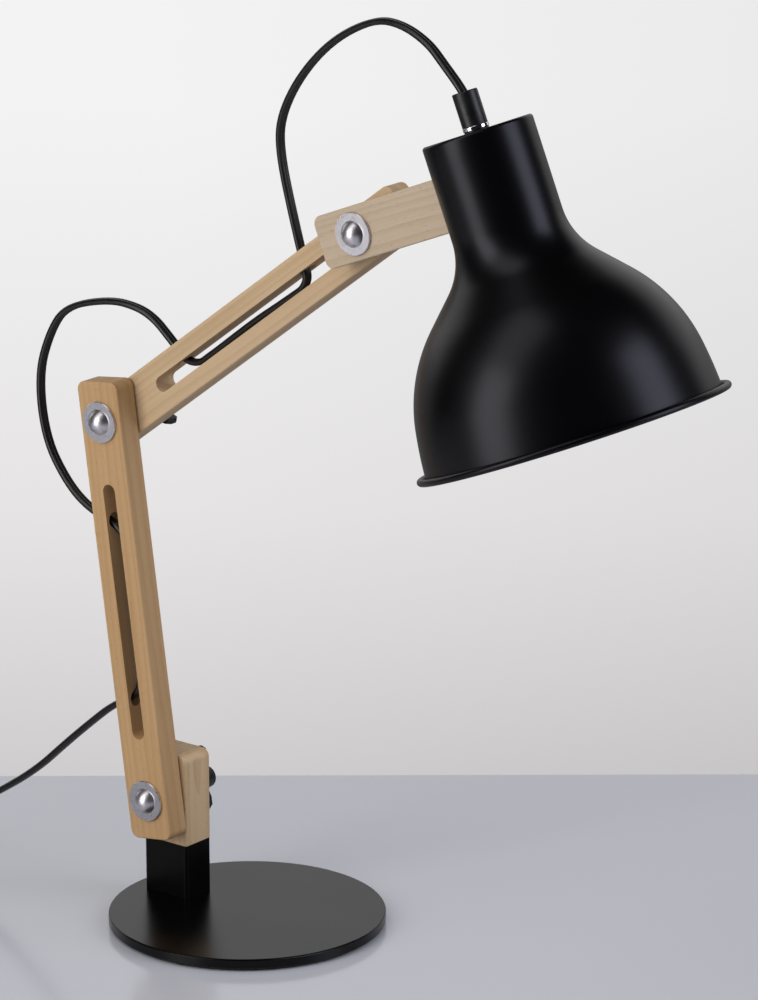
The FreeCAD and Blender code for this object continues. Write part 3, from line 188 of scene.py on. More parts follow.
class LampFinishes(bpy.types.PropertyGroup):
    """Colours of the finishes."""

    beech: tint("Beech", "Oiled beech of the arms", (0.535, 0.345, 0.172))
    beech_dark: tint("Beech streaks", "Darker growth lines of the arms", (0.42, 0.245, 0.107))
    upper_beech: tint("Upper beech", "Lighter beech of the upper arm and the block",
                      (0.585, 0.43, 0.265))
    upper_beech_dark: tint("Upper beech streaks", "Darker growth lines of the upper arm",
                           (0.47, 0.315, 0.17))
    link_beech: tint("Pale beech", "Paler beech of the head link", (0.54, 0.435, 0.32))
    link_beech_dark: tint("Pale beech streaks", "Darker growth lines of the link",
                          (0.44, 0.33, 0.22))
    black_paint: tint("Black paint", "Satin black powder coat", (0.0009, 0.0009, 0.0010))
    inside_paint: tint("Inside paint", "White paint inside the shade", (0.78, 0.77, 0.74))
    steel: tint("Steel", "Washers and bolts", (0.76, 0.735, 0.765))
    chrome: tint("Chrome", "Ring under the cord grip", (0.78, 0.78, 0.80))
    black_plastic: tint("Black plastic", "Knobs, grip, holder, switch and plug",
                        (0.0030, 0.0030, 0.0033))
    cord_black: tint("Cord", "Sheath of the cord", (0.0028, 0.0028, 0.0031))


class StudioSettings(bpy.types.PropertyGroup):
    """Camera, lamps and backdrop."""

    azimuth: degrees("Azimuth", "Camera's turn from the front towards +X", 38.811)
    elevation: degrees("Elevation", "Camera's height above level", 16.709)
    roll: degrees("Roll", "Camera's turn about its own view", -0.128)
    distance: metres("Distance", "Camera to the point that it looks at", 3.0886)
    lens: FloatProperty(
        name="Lens", description="Focal length for a sensor 24 mm high",
        default=134.07, subtype="DISTANCE_CAMERA")
    look_at: FloatVectorProperty(
        name="Look at", description="Point in the middle of the picture",
        default=(0.09818, 0.0, 0.27227), subtype="TRANSLATION", unit="LENGTH")
    table_back: metres("Table back", "Table's back edge behind the point looked at", 0.313)
    backdrop_away: metres("Backdrop", "Backdrop's distance behind the lamp", 4.2)
    left_power: watts("Left softbox", "Power of the softbox in front on the left", 14.5)
    high_power: watts("High softbox", "Power of the softbox above the left one", 5.5)
    right_power: watts("Right softbox", "Power of the softbox on the right", 13.5)


def sizes():
    return bpy.context.scene.lamp_sizes


def finishes():
    return bpy.context.scene.lamp_finishes


def studio():
    return bpy.context.scene.lamp_studio


# ---- node helpers

def join(tree, source, target):
    tree.links.new(source, target)


def feed(tree, socket, value):
    """Join a node's output to a socket, or set the socket's own value."""
    if hasattr(value, "is_output"):
        join(tree, value, socket)
    else:
        socket.default_value = value


def feed_all(tree, node, values):
    """Feed a node's inputs by name, with _ for a blank."""
    for name, value in values.items():
        feed(tree, node.inputs[name.replace("_", " ")], value)


def add_node(tree, kind, **values):
    made = tree.nodes.new(kind)
    feed_all(tree, made, values)
    return made


def operate(tree, kind, operation, values):
    """Math node of one kind on outputs or plain values; returns its outputs."""
    made = tree.nodes.new(kind)
    made.operation = operation
    for socket, value in zip(made.inputs, values):
        feed(tree, socket, value)
    return made.outputs


def number_math(tree, operation, *values):
    return operate(tree, "ShaderNodeMath", operation, values)["Value"]


def vector_math(tree, operation, *values):
    return operate(tree, "ShaderNodeVectorMath", operation, values)["Vector"]


def noise_of(tree, vector, scale, detail, roughness=0.5):
    made = add_node(tree, "ShaderNodeTexNoise", Vector=vector, Scale=scale, Detail=detail,
                    Roughness=roughness)
    return made.outputs["Fac"]


def spread(tree, value, low, high, to_low=0.0, to_high=1.0):
    """Map one range of a value to another, and clamp it."""
    made = add_node(tree, "ShaderNodeMapRange", Value=value, From_Min=low, From_Max=high,
                    To_Min=to_low, To_Max=to_high)
    return made.outputs["Result"]


def full_range(tree, noise):
    """Spread the range that a noise mostly keeps to over 0 to 1."""
    return spread(tree, noise, low=0.3, high=0.7)


def blend(tree, factor, first, second, data_type="RGBA", blend_type="MIX"):
    """Mix node on two colours or two numbers."""
    made = tree.nodes.new("ShaderNodeMix")
    made.data_type = data_type
    made.blend_type = blend_type
    feed_all(tree, made, {"Factor": factor, "A": first, "B": second})
    return made.outputs["Result"]


def new_group(name, inputs, outputs):
    """Node group with typed inputs and outputs; returns its tree, inputs and outputs."""
    tree = bpy.data.node_groups.new(name, "ShaderNodeTree")
    for title, kind, default in inputs:
        socket = tree.interface.new_socket(title, in_out="INPUT",
                                           socket_type=f"NodeSocket{kind}")
        if default is not None:
            socket.default_value = default
    for title, kind in outputs:
        tree.interface.new_socket(title, in_out="OUTPUT", socket_type=f"NodeSocket{kind}")
    entry = tree.nodes.new("NodeGroupInput")
    result = tree.nodes.new("NodeGroupOutput")
    return tree, entry.outputs, result.inputs


def use_group(tree, name, **values):
    made = tree.nodes.new("ShaderNodeGroup")
    made.node_tree = bpy.data.node_groups[name]
    feed_all(tree, made, values)
    return made.outputs


def new_material(name, **shader_values):
    """Material with its own Principled shader; returns it with its tree and shader."""
    material = bpy.data.materials.new(name)
    material.use_nodes = True
    tree = material.node_tree
    shader = tree.nodes["Principled BSDF"]
    feed_all(tree, shader, shader_values)
    return material, tree, shader


def object_vector(tree, origin=None, slope=0.0):
    """Object coordinates, moved to an origin and turned so that x follows a sloping bar."""
    place = tree.nodes.new("ShaderNodeTexCoord").outputs["Object"]
    if origin is None:
        return place
    mapping = tree.nodes.new("ShaderNodeMapping")
    mapping.vector_type = "TEXTURE"
    feed_all(tree, mapping, {"Vector": place, "Location": origin,
                             "Rotation": (0, -slope, 0)})
    return mapping.outputs["Vector"]


def finish_shader(tree, shader, effect, relief, strength, depth):
    """Lead an effect's colour and roughness, and the bump of a relief, to a shader."""
    join(tree, effect["Color"], shader.inputs["Base Color"])
    join(tree, effect["Roughness"], shader.inputs["Roughness"])
    bump = add_node(tree, "ShaderNodeBump", Height=relief, Strength=strength, Distance=depth)
    join(tree, bump.outputs["Normal"], shader.inputs["Normal"])


# ---- shared effects

# How often each mark of the wood repeats in a metre, along the grain and across it.
DRIFT_RATE = (2.2, 26, 26)
LINE_RATE = (1.5, 62, 128)
FIBRE_RATE = (16, 900, 900)
STREAK_RATE = (3.5, 130, 130)
CLOUD_RATE = (9, 30, 30)
FLECK_RATE = (260, 2300, 2300)
# How far the growth lines wander, in metres.
LINE_WANDER = (0, 0.016, 0.020)
# How much each mark darkens the wood.
STREAK_WEIGHT = 0.36
CLOUD_WEIGHT = 0.22
FIBRE_WEIGHT = 0.22
FLECK_WEIGHT = 0.4
FLECK_TINT = (0.45, 0.33, 0.24, 1)
# How high the fibres stand against the depth of a fleck.
FIBRE_RELIEF = 0.6


def build_wood_group():
    """Long growth lines, fibres and short dark flecks; x runs along the grain."""
    tree, given, result = new_group(
        "wood grain",
        [("Vector", "Vector", None), ("Pale", "Color", (0.5, 0.35, 0.2, 1)),
         ("Dark", "Color", (0.4, 0.25, 0.14, 1)), ("Growth Lines", "Float", 0.5)],
        [("Color", "Color"), ("Roughness", "Float"), ("Height", "Float")])
    place = given["Vector"]

    def marks(rate, detail, roughness=0.5):
        drawn_out = vector_math(tree, "MULTIPLY", place, rate)
        return noise_of(tree, drawn_out, scale=1.0, detail=detail, roughness=roughness)

    def weighed(value, weight):
        return number_math(tree, "MULTIPLY", value, weight)

    drift = marks(DRIFT_RATE, detail=2.0)
    bent = vector_math(tree, "MULTIPLY_ADD", drift, LINE_WANDER, place)
    wave = add_node(tree, "ShaderNodeTexWave", Scale=1.0, Distortion=1.2, Detail=2.0,
                    Detail_Scale=0.8, Vector=vector_math(tree, "MULTIPLY", bent, LINE_RATE))
    wave.bands_direction = "DIAGONAL"
    wave.wave_profile = "SAW"
    lines = spread(tree, wave.outputs["Fac"], low=0.35, high=1.0)
    fibre = marks(FIBRE_RATE, detail=3.0, roughness=0.6)
    streak = full_range(tree, marks(STREAK_RATE, detail=2.0))
    cloud = full_range(tree, marks(CLOUD_RATE, detail=1.0))
    fleck = spread(tree, marks(FLECK_RATE, detail=1.0), low=0.66, high=0.74)
    soft = number_math(tree, "ADD", weighed(streak, STREAK_WEIGHT),
                       weighed(cloud, CLOUD_WEIGHT))
    broad = number_math(tree, "ADD", weighed(lines, given["Growth Lines"]), soft)
    amount = number_math(tree, "ADD", broad, weighed(full_range(tree, fibre), FIBRE_WEIGHT))
    grain = blend(tree, amount, given["Pale"], given["Dark"])
    join(tree, blend(tree, weighed(fleck, FLECK_WEIGHT), grain, FLECK_TINT,
                     blend_type="MULTIPLY"), result["Color"])
    join(tree, spread(tree, amount, low=0.2, high=1.0, to_low=0.46, to_high=0.58),
         result["Roughness"])
    join(tree, number_math(tree, "SUBTRACT", weighed(fibre, FIBRE_RELIEF), fleck),
         result["Height"])


def build_finish_group():
    """Slight cloudiness and fine grit, for every finish but the wood."""
    tree, given, result = new_group(
        "fine finish",
        [("Vector", "Vector", None), ("Base", "Color", (0.1, 0.1, 0.1, 1)),
         ("Shift", "Color", (0.12, 0.12, 0.12, 1)), ("Cloud Scale", "Float", 40.0),
         ("Grit Scale", "Float", 2500.0), ("Smooth", "Float", 0.35),
         ("Rough", "Float", 0.45)],
        [("Color", "Color"), ("Roughness", "Float"), ("Height", "Float")])
    place = given["Vector"]
    cloud = full_range(tree, noise_of(tree, place, given["Cloud Scale"], detail=3.0))
    join(tree, blend(tree, cloud, given["Base"], given["Shift"]), result["Color"])
    join(tree, blend(tree, cloud, given["Smooth"], given["Rough"], "FLOAT"),
         result["Roughness"])
    join(tree, noise_of(tree, place, given["Grit Scale"], detail=2.0), result["Height"])


def build_turned_group():
    """Fine rings round the y axis, as a lathe leaves them."""
    tree, given, result = new_group(
        "turned rings",
        [("Vector", "Vector", None), ("Ring Scale", "Float", 1300.0)],
        [("Height", "Float")])
    flat = vector_math(tree, "MULTIPLY", given["Vector"], (1, 0, 1))
    radius = operate(tree, "ShaderNodeVectorMath", "LENGTH", [flat])["Value"]
    rings = tree.nodes.new("ShaderNodeTexNoise")
    rings.noise_dimensions = "1D"
    feed_all(tree, rings, {"W": radius, "Scale": given["Ring Scale"], "Detail": 1.0})
    join(tree, rings.outputs["Fac"], result["Height"])


class LAMP_OT_effects(bpy.types.Operator):
    """Builds the node groups that several finishes share"""

    bl_idname = "lamp.effects"
    bl_label = "Shared effects"

    def execute(self, context):
        build_wood_group()
        build_finish_group()
        build_turned_group()
        return {"FINISHED"}


# ---- materials

# Depth of the relief in wood, in most finishes and in turned steel, in metres.
GRAIN_DEPTH = 0.00012
GRIT_DEPTH = 0.0001
RING_DEPTH = 0.00003


def opaque(colour):
    return (*colour, 1)


def toned(colour, factor):
    """Colour made lighter or darker by a factor."""
    return [min(1.0, value * factor) for value in colour]


def wood_material(name, origin, slope, pale, dark, lines):
    material, tree, shader = new_material(name, Specular_IOR_Level=0.35)
    grain = use_group(tree, "wood grain", Vector=object_vector(tree, origin, slope),
                      Pale=opaque(pale), Dark=opaque(dark), Growth_Lines=lines)
    finish_shader(tree, shader, grain, grain["Height"], strength=0.25, depth=GRAIN_DEPTH)
    return material


def finish_material(name, base, shift, smooth, rough, cloud_scale=40.0, grit_scale=2500.0,
                    bump=0.08, **shader_values):
    """Painted, moulded or drawn surface."""
    material, tree, shader = new_material(name, **shader_values)
    finish = use_group(tree, "fine finish", Vector=object_vector(tree), Base=opaque(base),
                       Shift=opaque(shift), Cloud_Scale=cloud_scale, Grit_Scale=grit_scale,
                       Smooth=smooth, Rough=rough)
    finish_shader(tree, shader, finish, finish["Height"], strength=bump, depth=GRIT_DEPTH)
    return material


def turned_material(name, centre, smooth, rough):
    """Steel turned round a pivot's axis."""
    steel = finishes().steel
    material, tree, shader = new_material(name, Metallic=1.0)
    place = object_vector(tree, centre)
    finish = use_group(tree, "fine finish", Vector=place, Base=opaque(steel),
                       Shift=opaque(toned(steel, 0.9)), Cloud_Scale=300.0,
                       Grit_Scale=4000.0, Smooth=smooth, Rough=rough)
    rings = use_group(tree, "turned rings", Vector=place, Ring_Scale=1300.0)
    finish_shader(tree, shader, finish, rings["Height"], strength=0.22, depth=RING_DEPTH)
    return material


# ---- mesh helpers

def new_piece(name, form, material):
    """Object from a bmesh, with its material."""
    mesh = bpy.data.meshes.new(name)
    form.to_mesh(mesh)
    form.free()
    mesh.materials.append(material)
    piece = bpy.data.objects.new(name, mesh)
    bpy.context.collection.objects.link(piece)
    return piece


def shade_smoothly(form, sharp=math.radians(32)):
    """Smooth faces, with edges left crisp where they turn by more than an angle."""
    for face in form.faces:
        face.smooth = True
    for edge in form.edges:
        if len(edge.link_faces) == 2:
            edge.smooth = edge.calc_face_angle() < sharp


def dress(nodes, material):
    """Give CAD nodes a material."""
    for name in nodes:
        for slot in frame["nodes"][name].material_slots:
            slot.material = material


def coat(nodes, *finish, **values):
    """Dress CAD nodes in a finish of their own."""
    dress(nodes, finish_material(*finish, **values))


def joint_place(name):
    """Where a joint's axis lies at rest."""
    for joint in frame["joints"]:
        if joint["name"] == name:
            return Vector(joint["pos_m"])
    raise ValueError(f"no joint {name}")


# ---- cords

def smooth_line(name, points, samples):
    """Points along a NURBS curve of order 3 through a route's control points."""
    curve = bpy.data.curves.new(name, "CURVE")
    curve.dimensions = "3D"
    curve.resolution_u = samples
    spline = curve.splines.new("NURBS")
    spline.points.add(len(points) - 1)
    for control, point in zip(spline.points, points):
        control.co = (*point, 1)
    spline.order_u = 3
    spline.use_endpoint_u = True
    holder = bpy.data.objects.new(name, curve)
    mesh = bpy.data.meshes.new_from_object(holder)
    line = [vertex.co.copy() for vertex in mesh.vertices]
    bpy.data.objects.remove(holder)
    bpy.data.curves.remove(curve)
    bpy.data.meshes.remove(mesh)
    return line


def flex_section(form):
    """Twin-core section in the local xy plane, broad along x, as a closed ring of edges."""
    core = sizes().cord_thickness / 2
    offset = sizes().cord_width / 2 - core
    ring = []
    for side in (1, -1):
        for step in range(CORE_POINTS):
            angle = CORE_HALF_ANGLE * (2 * step / (CORE_POINTS - 1) - 1)
            spot = Vector((side * (offset + core * math.cos(angle)),
                           side * core * math.sin(angle), 0))
            ring.append(form.verts.new(spot))
    edges = [form.edges.new((ring[i - 1], ring[i])) for i in range(len(ring))]
    return ring, edges


def section_frame(line, index, broad_side):
    """Placement of the cord's section at one point of its line."""
    ahead = line[min(index + 1, len(line) - 1)]
    behind = line[max(index - 1, 0)]
    along = (ahead - behind).normalized()
    broad = broad_side(along, index / (len(line) - 1))
    broad = (broad - along * broad.dot(along)).normalized()
    thin = along.cross(broad)
    turn = Matrix((broad, thin, along)).transposed().to_4x4()
    return Matrix.Translation(line[index]) @ turn


def lay_flex(name, line, material, broad_side):
    """Twin cord: its section is drawn out from point to point of a line."""
    form = bmesh.new()
    ring, edges = flex_section(form)
    here = section_frame(line, 0, broad_side)
    bmesh.ops.transform(form, matrix=here, verts=ring)
    bmesh.ops.contextual_create(form, geom=ring)
    for index in range(1, len(line)):
        following = section_frame(line, index, broad_side)
        drawn = bmesh.ops.extrude_edge_only(form, edges=edges)["geom"]
        ring = [item for item in drawn if isinstance(item, bmesh.types.BMVert)]
        edges = [item for item in drawn if isinstance(item, bmesh.types.BMEdge)]
        bmesh.ops.transform(form, matrix=following @ here.inverted(), verts=ring)
        here = following
    bmesh.ops.contextual_create(form, geom=ring)
    bmesh.ops.recalc_face_normals(form, faces=form.faces)
    shade_smoothly(form, sharp=math.radians(50))
    piece = new_piece(name, form, material)
    return piece


def across_arms(along, share):
    return ACROSS


def flat_on_table(along, share):
    return UP.cross(along)


def flat_then_on_edge(along, share):
    """Lies flat by the switch and the plug, and stands on edge in the coil."""
    rise = min(1.0, min(share, 1 - share) / TIP_SHARE)
    return UP.cross(along).lerp(UP, rise * rise * (3 - 2 * rise))


def coil_points():
    """Control points of the coil's turns, which stray a little in and out."""
    sweep = COIL_EXIT - COIL_ENTRY + 2 * math.pi * (len(COIL_TURNS) - 1)
    count = round(COIL_STEPS * sweep / (2 * math.pi))
    points = []
    for index in range(count + 1):
        angle = COIL_ENTRY + sweep * index / count
        turn = (len(COIL_TURNS) - 1) * index / count
        whole = min(int(turn), len(COIL_TURNS) - 2)
        part = turn - whole
        (radius, height), (next_radius, next_height) = COIL_TURNS[whole:whole + 2]
        stray = COIL_STRAY * math.sin(COIL_STRAY_RATE * angle + whole)
        reach = radius + (next_radius - radius) * part + stray
        points.append(COIL_CENTRE + Vector((
            reach * math.cos(angle), reach * math.sin(angle),
            height + (next_height - height) * part)))
    return points


def wrap_tie():
    """Band of webbing round the turns of the coil, on its +Y side."""
    size = sizes()
    near = min(radius for radius, height in COIL_TURNS) - size.cord_thickness / 2
    far = max(radius for radius, height in COIL_TURNS) + size.cord_thickness / 2
    top = max(height for radius, height in COIL_TURNS) + size.cord_width / 2
    depth = far - near + 2 * size.tie_slack
    height = top + size.tie_slack
    form = bmesh.new()
    bmesh.ops.create_cube(form, size=1)
    bmesh.ops.scale(form, vec=(size.tie_width, depth, height), verts=form.verts)
    bmesh.ops.translate(form, vec=COIL_CENTRE + Vector((0, (near + far) / 2, height / 2)),
                        verts=form.verts)
    long_edges = [edge for edge in form.edges
                  if abs(edge.verts[0].co.x - edge.verts[1].co.x) > size.tie_width / 2]
    bmesh.ops.bevel(form, geom=long_edges, offset=size.tie_round, segments=5, profile=0.5,
                    affect="EDGES", material=-1)
    ends = [face for face in form.faces if abs(face.normal.x) > FACES_ALONG]
    bmesh.ops.delete(form, geom=ends, context="FACES_ONLY")
    bmesh.ops.recalc_face_normals(form, faces=form.faces)
    bmesh.ops.solidify(form, geom=form.faces, thickness=size.tie_wall)
    shade_smoothly(form)
    black = finishes().black_plastic
    webbing = finish_material("tie_webbing", toned(black, 1.5), toned(black, 3.5), smooth=0.70,
                              rough=0.85, cloud_scale=500.0, grit_scale=1600.0, bump=0.6)
    tie = new_piece("coil_band", form, webbing)
    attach(tie, "root")
    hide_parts("coil_tie")
    return tie


class LAMP_OT_cords(bpy.types.Operator):
    """Threads the twin cord through the arms and coils the rest behind the switch"""

    bl_idname = "lamp.cords"
    bl_label = "Cords"

    def execute(self, context):
        black = finishes().cord_black
        material = finish_material("cord_sheath", black, toned(black, 1.8), smooth=0.30,
                                   rough=0.40, cloud_scale=160.0, grit_scale=3000.0, bump=0.06)
        dress([n for n in frame["nodes"] if n.startswith("cord_") and n != "cord_coil"],
              material)
        runs = (
            ("head_loop", HEAD_LOOP, across_arms, "upper", "head", "cord_head_loop"),
            ("upper_run", UPPER_RUN, across_arms, "upper", None, "cord_upper_run"),
            ("elbow_loop", ELBOW_LOOP, across_arms, "lower", "upper", "cord_elbow_loop"),
            ("lower_run", LOWER_RUN, across_arms, "lower", None, "cord_lower_run"),
            ("tail", TAIL, across_arms, "root", "lower", "cord_tail"),
            ("floor_lead", FLOOR_LEAD, flat_on_table, "root", None, "cord_floor_lead"),
        )
        for name, points, broad_side, body, other, node in runs:
            line = smooth_line(name, points, STRETCH_SAMPLES)
            piece = lay_flex(f"flex_{name}", line, material, broad_side)
            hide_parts(node)
            if other is None:
                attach(piece, body)
            else:
                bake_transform(piece)
        points = [*COIL_LEAD, *coil_points(), *PLUG_LEAD]
        line = smooth_line("coiled", points, COIL_SAMPLES)
        piece = lay_flex("flex_coil", line, material, flat_then_on_edge)
        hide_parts("cord_coil_lead", "cord_coil", "cord_plug_lead")
        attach(piece, "root")
        wrap_tie()
        return {"FINISHED"}


# ---- shade

# Faces along each part of the bell's section, and round the shade.
NECK_STEPS = 6
EDGE_STEPS = 6
INNER_EDGE_STEPS = 4
FLARE_STEPS = 16
CONE_STEPS = 4
SHOULDER_STEPS = 22
SKIRT_STEPS = 12
BEAD_STEPS = 26
SPIN_STEPS = 144
# Gap in metres below which the spin's first and last points are made one.
SEAM_GAP = 1e-6


def arc(centre, radius, start, end, steps):
    """Points of an arc in the (radius, depth) plane, its first point left out."""
    return [(centre[0] + radius * math.cos(start + (end - start) * step / steps),
             centre[1] + radius * math.sin(start + (end - start) * step / steps))
            for step in range(1, steps + 1)]


def bell_curve(wall):
    """Neck, flare, cone, shoulder and skirt as (radius, depth) points, inset by a wall."""
    size = sizes()
    flare, skirt = size.flare_angle, size.skirt_angle
    points = [(size.neck_radius - wall, size.flare_start)]
    centre = (size.neck_radius + size.flare_radius, size.flare_start)
    bend = size.flare_radius + wall
    points += arc(centre, bend, math.pi, math.pi - flare, FLARE_STEPS)
    run = Vector((math.sin(flare), math.cos(flare))) * size.cone_run
    cone_end = Vector(points[-1]) + run
    points += [tuple(Vector(points[-1]).lerp(cone_end, step / CONE_STEPS))
               for step in range(1, CONE_STEPS)]
    points.append(tuple(cone_end))
    bend = size.shoulder_radius - wall
    centre = (cone_end.x - bend * math.cos(flare), cone_end.y + bend * math.sin(flare))
    points += arc(centre, bend, -flare, -skirt, SHOULDER_STEPS)
    bend = size.skirt_radius - wall
    start = points[-1]
    centre = (start[0] - bend * math.cos(skirt), start[1] + bend * math.sin(skirt))
    rim = math.asin((size.shade_height - size.shade_wall - centre[1]) / bend)
    points += arc(centre, bend, -skirt, rim, SKIRT_STEPS)
    return points


def shade_outline():
    """Closed section of the shade, from the nipple hole over the outside and back inside."""
    size = sizes()
    wall, edge, bead = size.shade_wall, size.neck_edge, size.bead_radius
    quarter = math.pi / 2
    outside = bell_curve(0.0)
    inside = bell_curve(wall)
    points = [(size.nipple_hole, 0), (size.neck_radius - edge, 0)]
    points += arc((size.neck_radius - edge, edge), edge, -quarter, 0, EDGE_STEPS)
    points += [(size.neck_radius, edge + (size.flare_start - edge) * step / NECK_STEPS)
               for step in range(1, NECK_STEPS)]
    points += outside
    bead_middle = (outside[-1][0] + size.bead_gap + bead, size.shade_height - bead)
    # The bead's round starts where the wall's outer face runs into it.
    start = math.pi - math.asin((bead - wall) / bead)
    points.append((bead_middle[0] + bead * math.cos(start),
                   bead_middle[1] + bead * math.sin(start)))
    points += arc(bead_middle, bead, start, 5 * quarter, BEAD_STEPS)
    points.append((inside[-1][0], size.shade_height))
    points += reversed(inside)
    points += arc((size.neck_radius - edge, edge), edge - wall, 0, -quarter,
                  INNER_EDGE_STEPS)
    points.append((size.nipple_hole, wall))
    return points


def head_placement():
    """Frame on the shade's axis, its z pointing down from the top of the neck."""
    size = sizes()
    lean = Matrix.Rotation(-size.link_angle, 4, "Y")
    seat = Matrix.Translation((size.link_reach, size.front_middle, 0))
    rise = Matrix.Translation((0, 0, size.neck_rise))
    return (Matrix.Translation(joint_place("wrist_pivot")) @ lean @ seat
            @ Matrix.Rotation(size.shade_roll, 4, "X") @ rise
            @ Matrix.Rotation(math.pi, 4, "X"))


def spun(outline):
    """Solid of revolution about z of a closed (radius, depth) outline."""
    form = bmesh.new()
    ring = [form.verts.new((radius, 0, depth)) for radius, depth in outline]
    edges = [form.edges.new((ring[i - 1], ring[i])) for i in range(len(ring))]
    bmesh.ops.spin(form, geom=ring + edges, cent=(0, 0, 0), axis=(0, 0, 1), dvec=(0, 0, 0),
                   angle=2 * math.pi, steps=SPIN_STEPS, use_merge=True)
    bmesh.ops.remove_doubles(form, verts=form.verts, dist=SEAM_GAP)
    bmesh.ops.recalc_face_normals(form, faces=form.faces)
    return form


def mark_inside(form):
    """Give the second material to the faces inside the upright bell, up to its bead."""
    size = sizes()
    wall_middle = (bell_curve(0.0)[-1][0] + bell_curve(size.shade_wall)[-1][0]) / 2
    for face in form.faces:
        spot, normal = face.calc_center_median(), face.normal
        faces_axis = normal.x * spot.x + normal.y * spot.y < 0
        hollow = faces_axis and spot.z < size.shade_height - size.shade_wall
        ceiling = normal.z > FACES_ALONG and spot.z < 2 * size.shade_wall
        if (hollow or ceiling) and math.hypot(spot.x, spot.y) <= wall_middle:
            face.material_index = 1


class LAMP_OT_shade(bpy.types.Operator):
    """Spins the bell shade with its rolled bead"""

    bl_idname = "lamp.shade"
    bl_label = "Shade"

    def execute(self, context):
        black = finishes().black_paint
        outside = finish_material("shade_paint", black, toned(black, 1.3), smooth=0.31,
                                  rough=0.33, cloud_scale=25.0, grit_scale=1800.0, bump=0.03,
                                  Specular_IOR_Level=0.26, Specular_Tint=(0.90, 0.88, 1.0, 1.0))
        white = finishes().inside_paint
        inside = finish_material("shade_inside", white, toned(white, 0.96), smooth=0.40,
                                 rough=0.50, cloud_scale=25.0)
        form = spun(shade_outline())
        shade_smoothly(form, sharp=math.radians(40))
        mark_inside(form)
        bmesh.ops.transform(form, matrix=head_placement(), verts=form.verts)
        piece = new_piece("bell_shade", form, outside)
        piece.data.materials.append(inside)
        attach(piece, "head")
        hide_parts("shade")
        return {"FINISHED"}


# ---- woodwork

class LAMP_OT_woodwork(bpy.types.Operator):
    """Oils the arms, the link and the pivot block"""

    bl_idname = "lamp.woodwork"
    bl_label = "Woodwork"

    def execute(self, context):
        base, elbow = joint_place("base_pivot"), joint_place("elbow_pivot")
        wrist = joint_place("wrist_pivot")
        finish = finishes()
        lower_slope = math.atan2(elbow.z - base.z, elbow.x - base.x)
        upper_slope = math.atan2(wrist.z - elbow.z, wrist.x - elbow.x)
        # Node, middle of the growth rings, slope, colours and strength of the lines.
        bars = (
            ("lower_arm", base + Vector((0.3, 0.1, 0)), lower_slope,
             finish.beech, finish.beech_dark, 0.35),
            ("upper_arm", elbow + Vector((0, 0.35, 0.2)), upper_slope,
             finish.upper_beech, finish.upper_beech_dark, 0.40),
            ("head_link", wrist + Vector((0, 0, 0.5)), sizes().link_angle,
             finish.link_beech, finish.link_beech_dark, 0.45),
            ("pivot_block", base + Vector((0.7, 0, 0)), math.pi / 2,
             toned(finish.upper_beech, 1.1), toned(finish.upper_beech_dark, 1.1), 0.50),
        )
        for node, origin, slope, pale, dark, lines in bars:
            dress([node], wood_material(f"{node}_wood", origin, slope, pale, dark, lines))
        return {"FINISHED"}


# ---- hardware

class LAMP_OT_hardware(bpy.types.Operator):
    """Finishes the bolts, washers and wing nuts of the three pivots"""

    bl_idname = "lamp.hardware"
    bl_label = "Pivot hardware"

    def execute(self, context):
        pivots = ("base", "elbow", "wrist")
        black = finishes().black_plastic
        coat([f"{name}_wing_nut" for name in pivots], "wing_nut_black", black,
             toned(black, 1.6), smooth=0.36, rough=0.48, cloud_scale=220.0, bump=0.12)
        coat([f"{name}_friction_washer" for name in pivots], "friction_washer", black,
             toned(black, 1.6), smooth=0.45, rough=0.55)
        for name in pivots:
            centre = joint_place(f"{name}_pivot")
            bright = turned_material(f"{name}_washer_steel", centre, smooth=0.26, rough=0.34)
            polished = turned_material(f"{name}_bolt_steel", centre, smooth=0.34, rough=0.38)
            dress([f"{name}_front_washer", f"{name}_rear_washer"], bright)
            dress([f"{name}_bolt"], polished)
        steel = finishes().steel
        coat(["block_screw", "post_screws", "link_screws", "post_foot", "nipple", "locknut"],
             "zinc_screw", steel, toned(steel, 0.85), smooth=0.28, rough=0.38,
             cloud_scale=400.0, Metallic=1.0)
        return {"FINISHED"}


# ---- base

class LAMP_OT_base(bpy.types.Operator):
    """Paints the base plate and the post, and finishes the pad"""

    bl_idname = "lamp.base"
    bl_label = "Base and post"

    def execute(self, context):
        black = finishes().black_paint
        coat(["base_plate"], "base_paint", black, toned(black, 1.4), smooth=0.24, rough=0.27,
             cloud_scale=18.0, grit_scale=1500.0, bump=0.03, Specular_IOR_Level=0.23)
        coat(["post_tube"], "post_paint", black, toned(black, 1.5), smooth=0.34, rough=0.40,
             cloud_scale=60.0, grit_scale=1500.0, bump=0.08, Specular_IOR_Level=0.16)
        coat(["base_pad"], "base_pad_foam", (0.012, 0.012, 0.012), (0.02, 0.02, 0.02),
             smooth=0.8, rough=0.9, cloud_scale=300.0, grit_scale=1800.0, bump=0.5)
        return {"FINISHED"}


# ---- holder and bulb

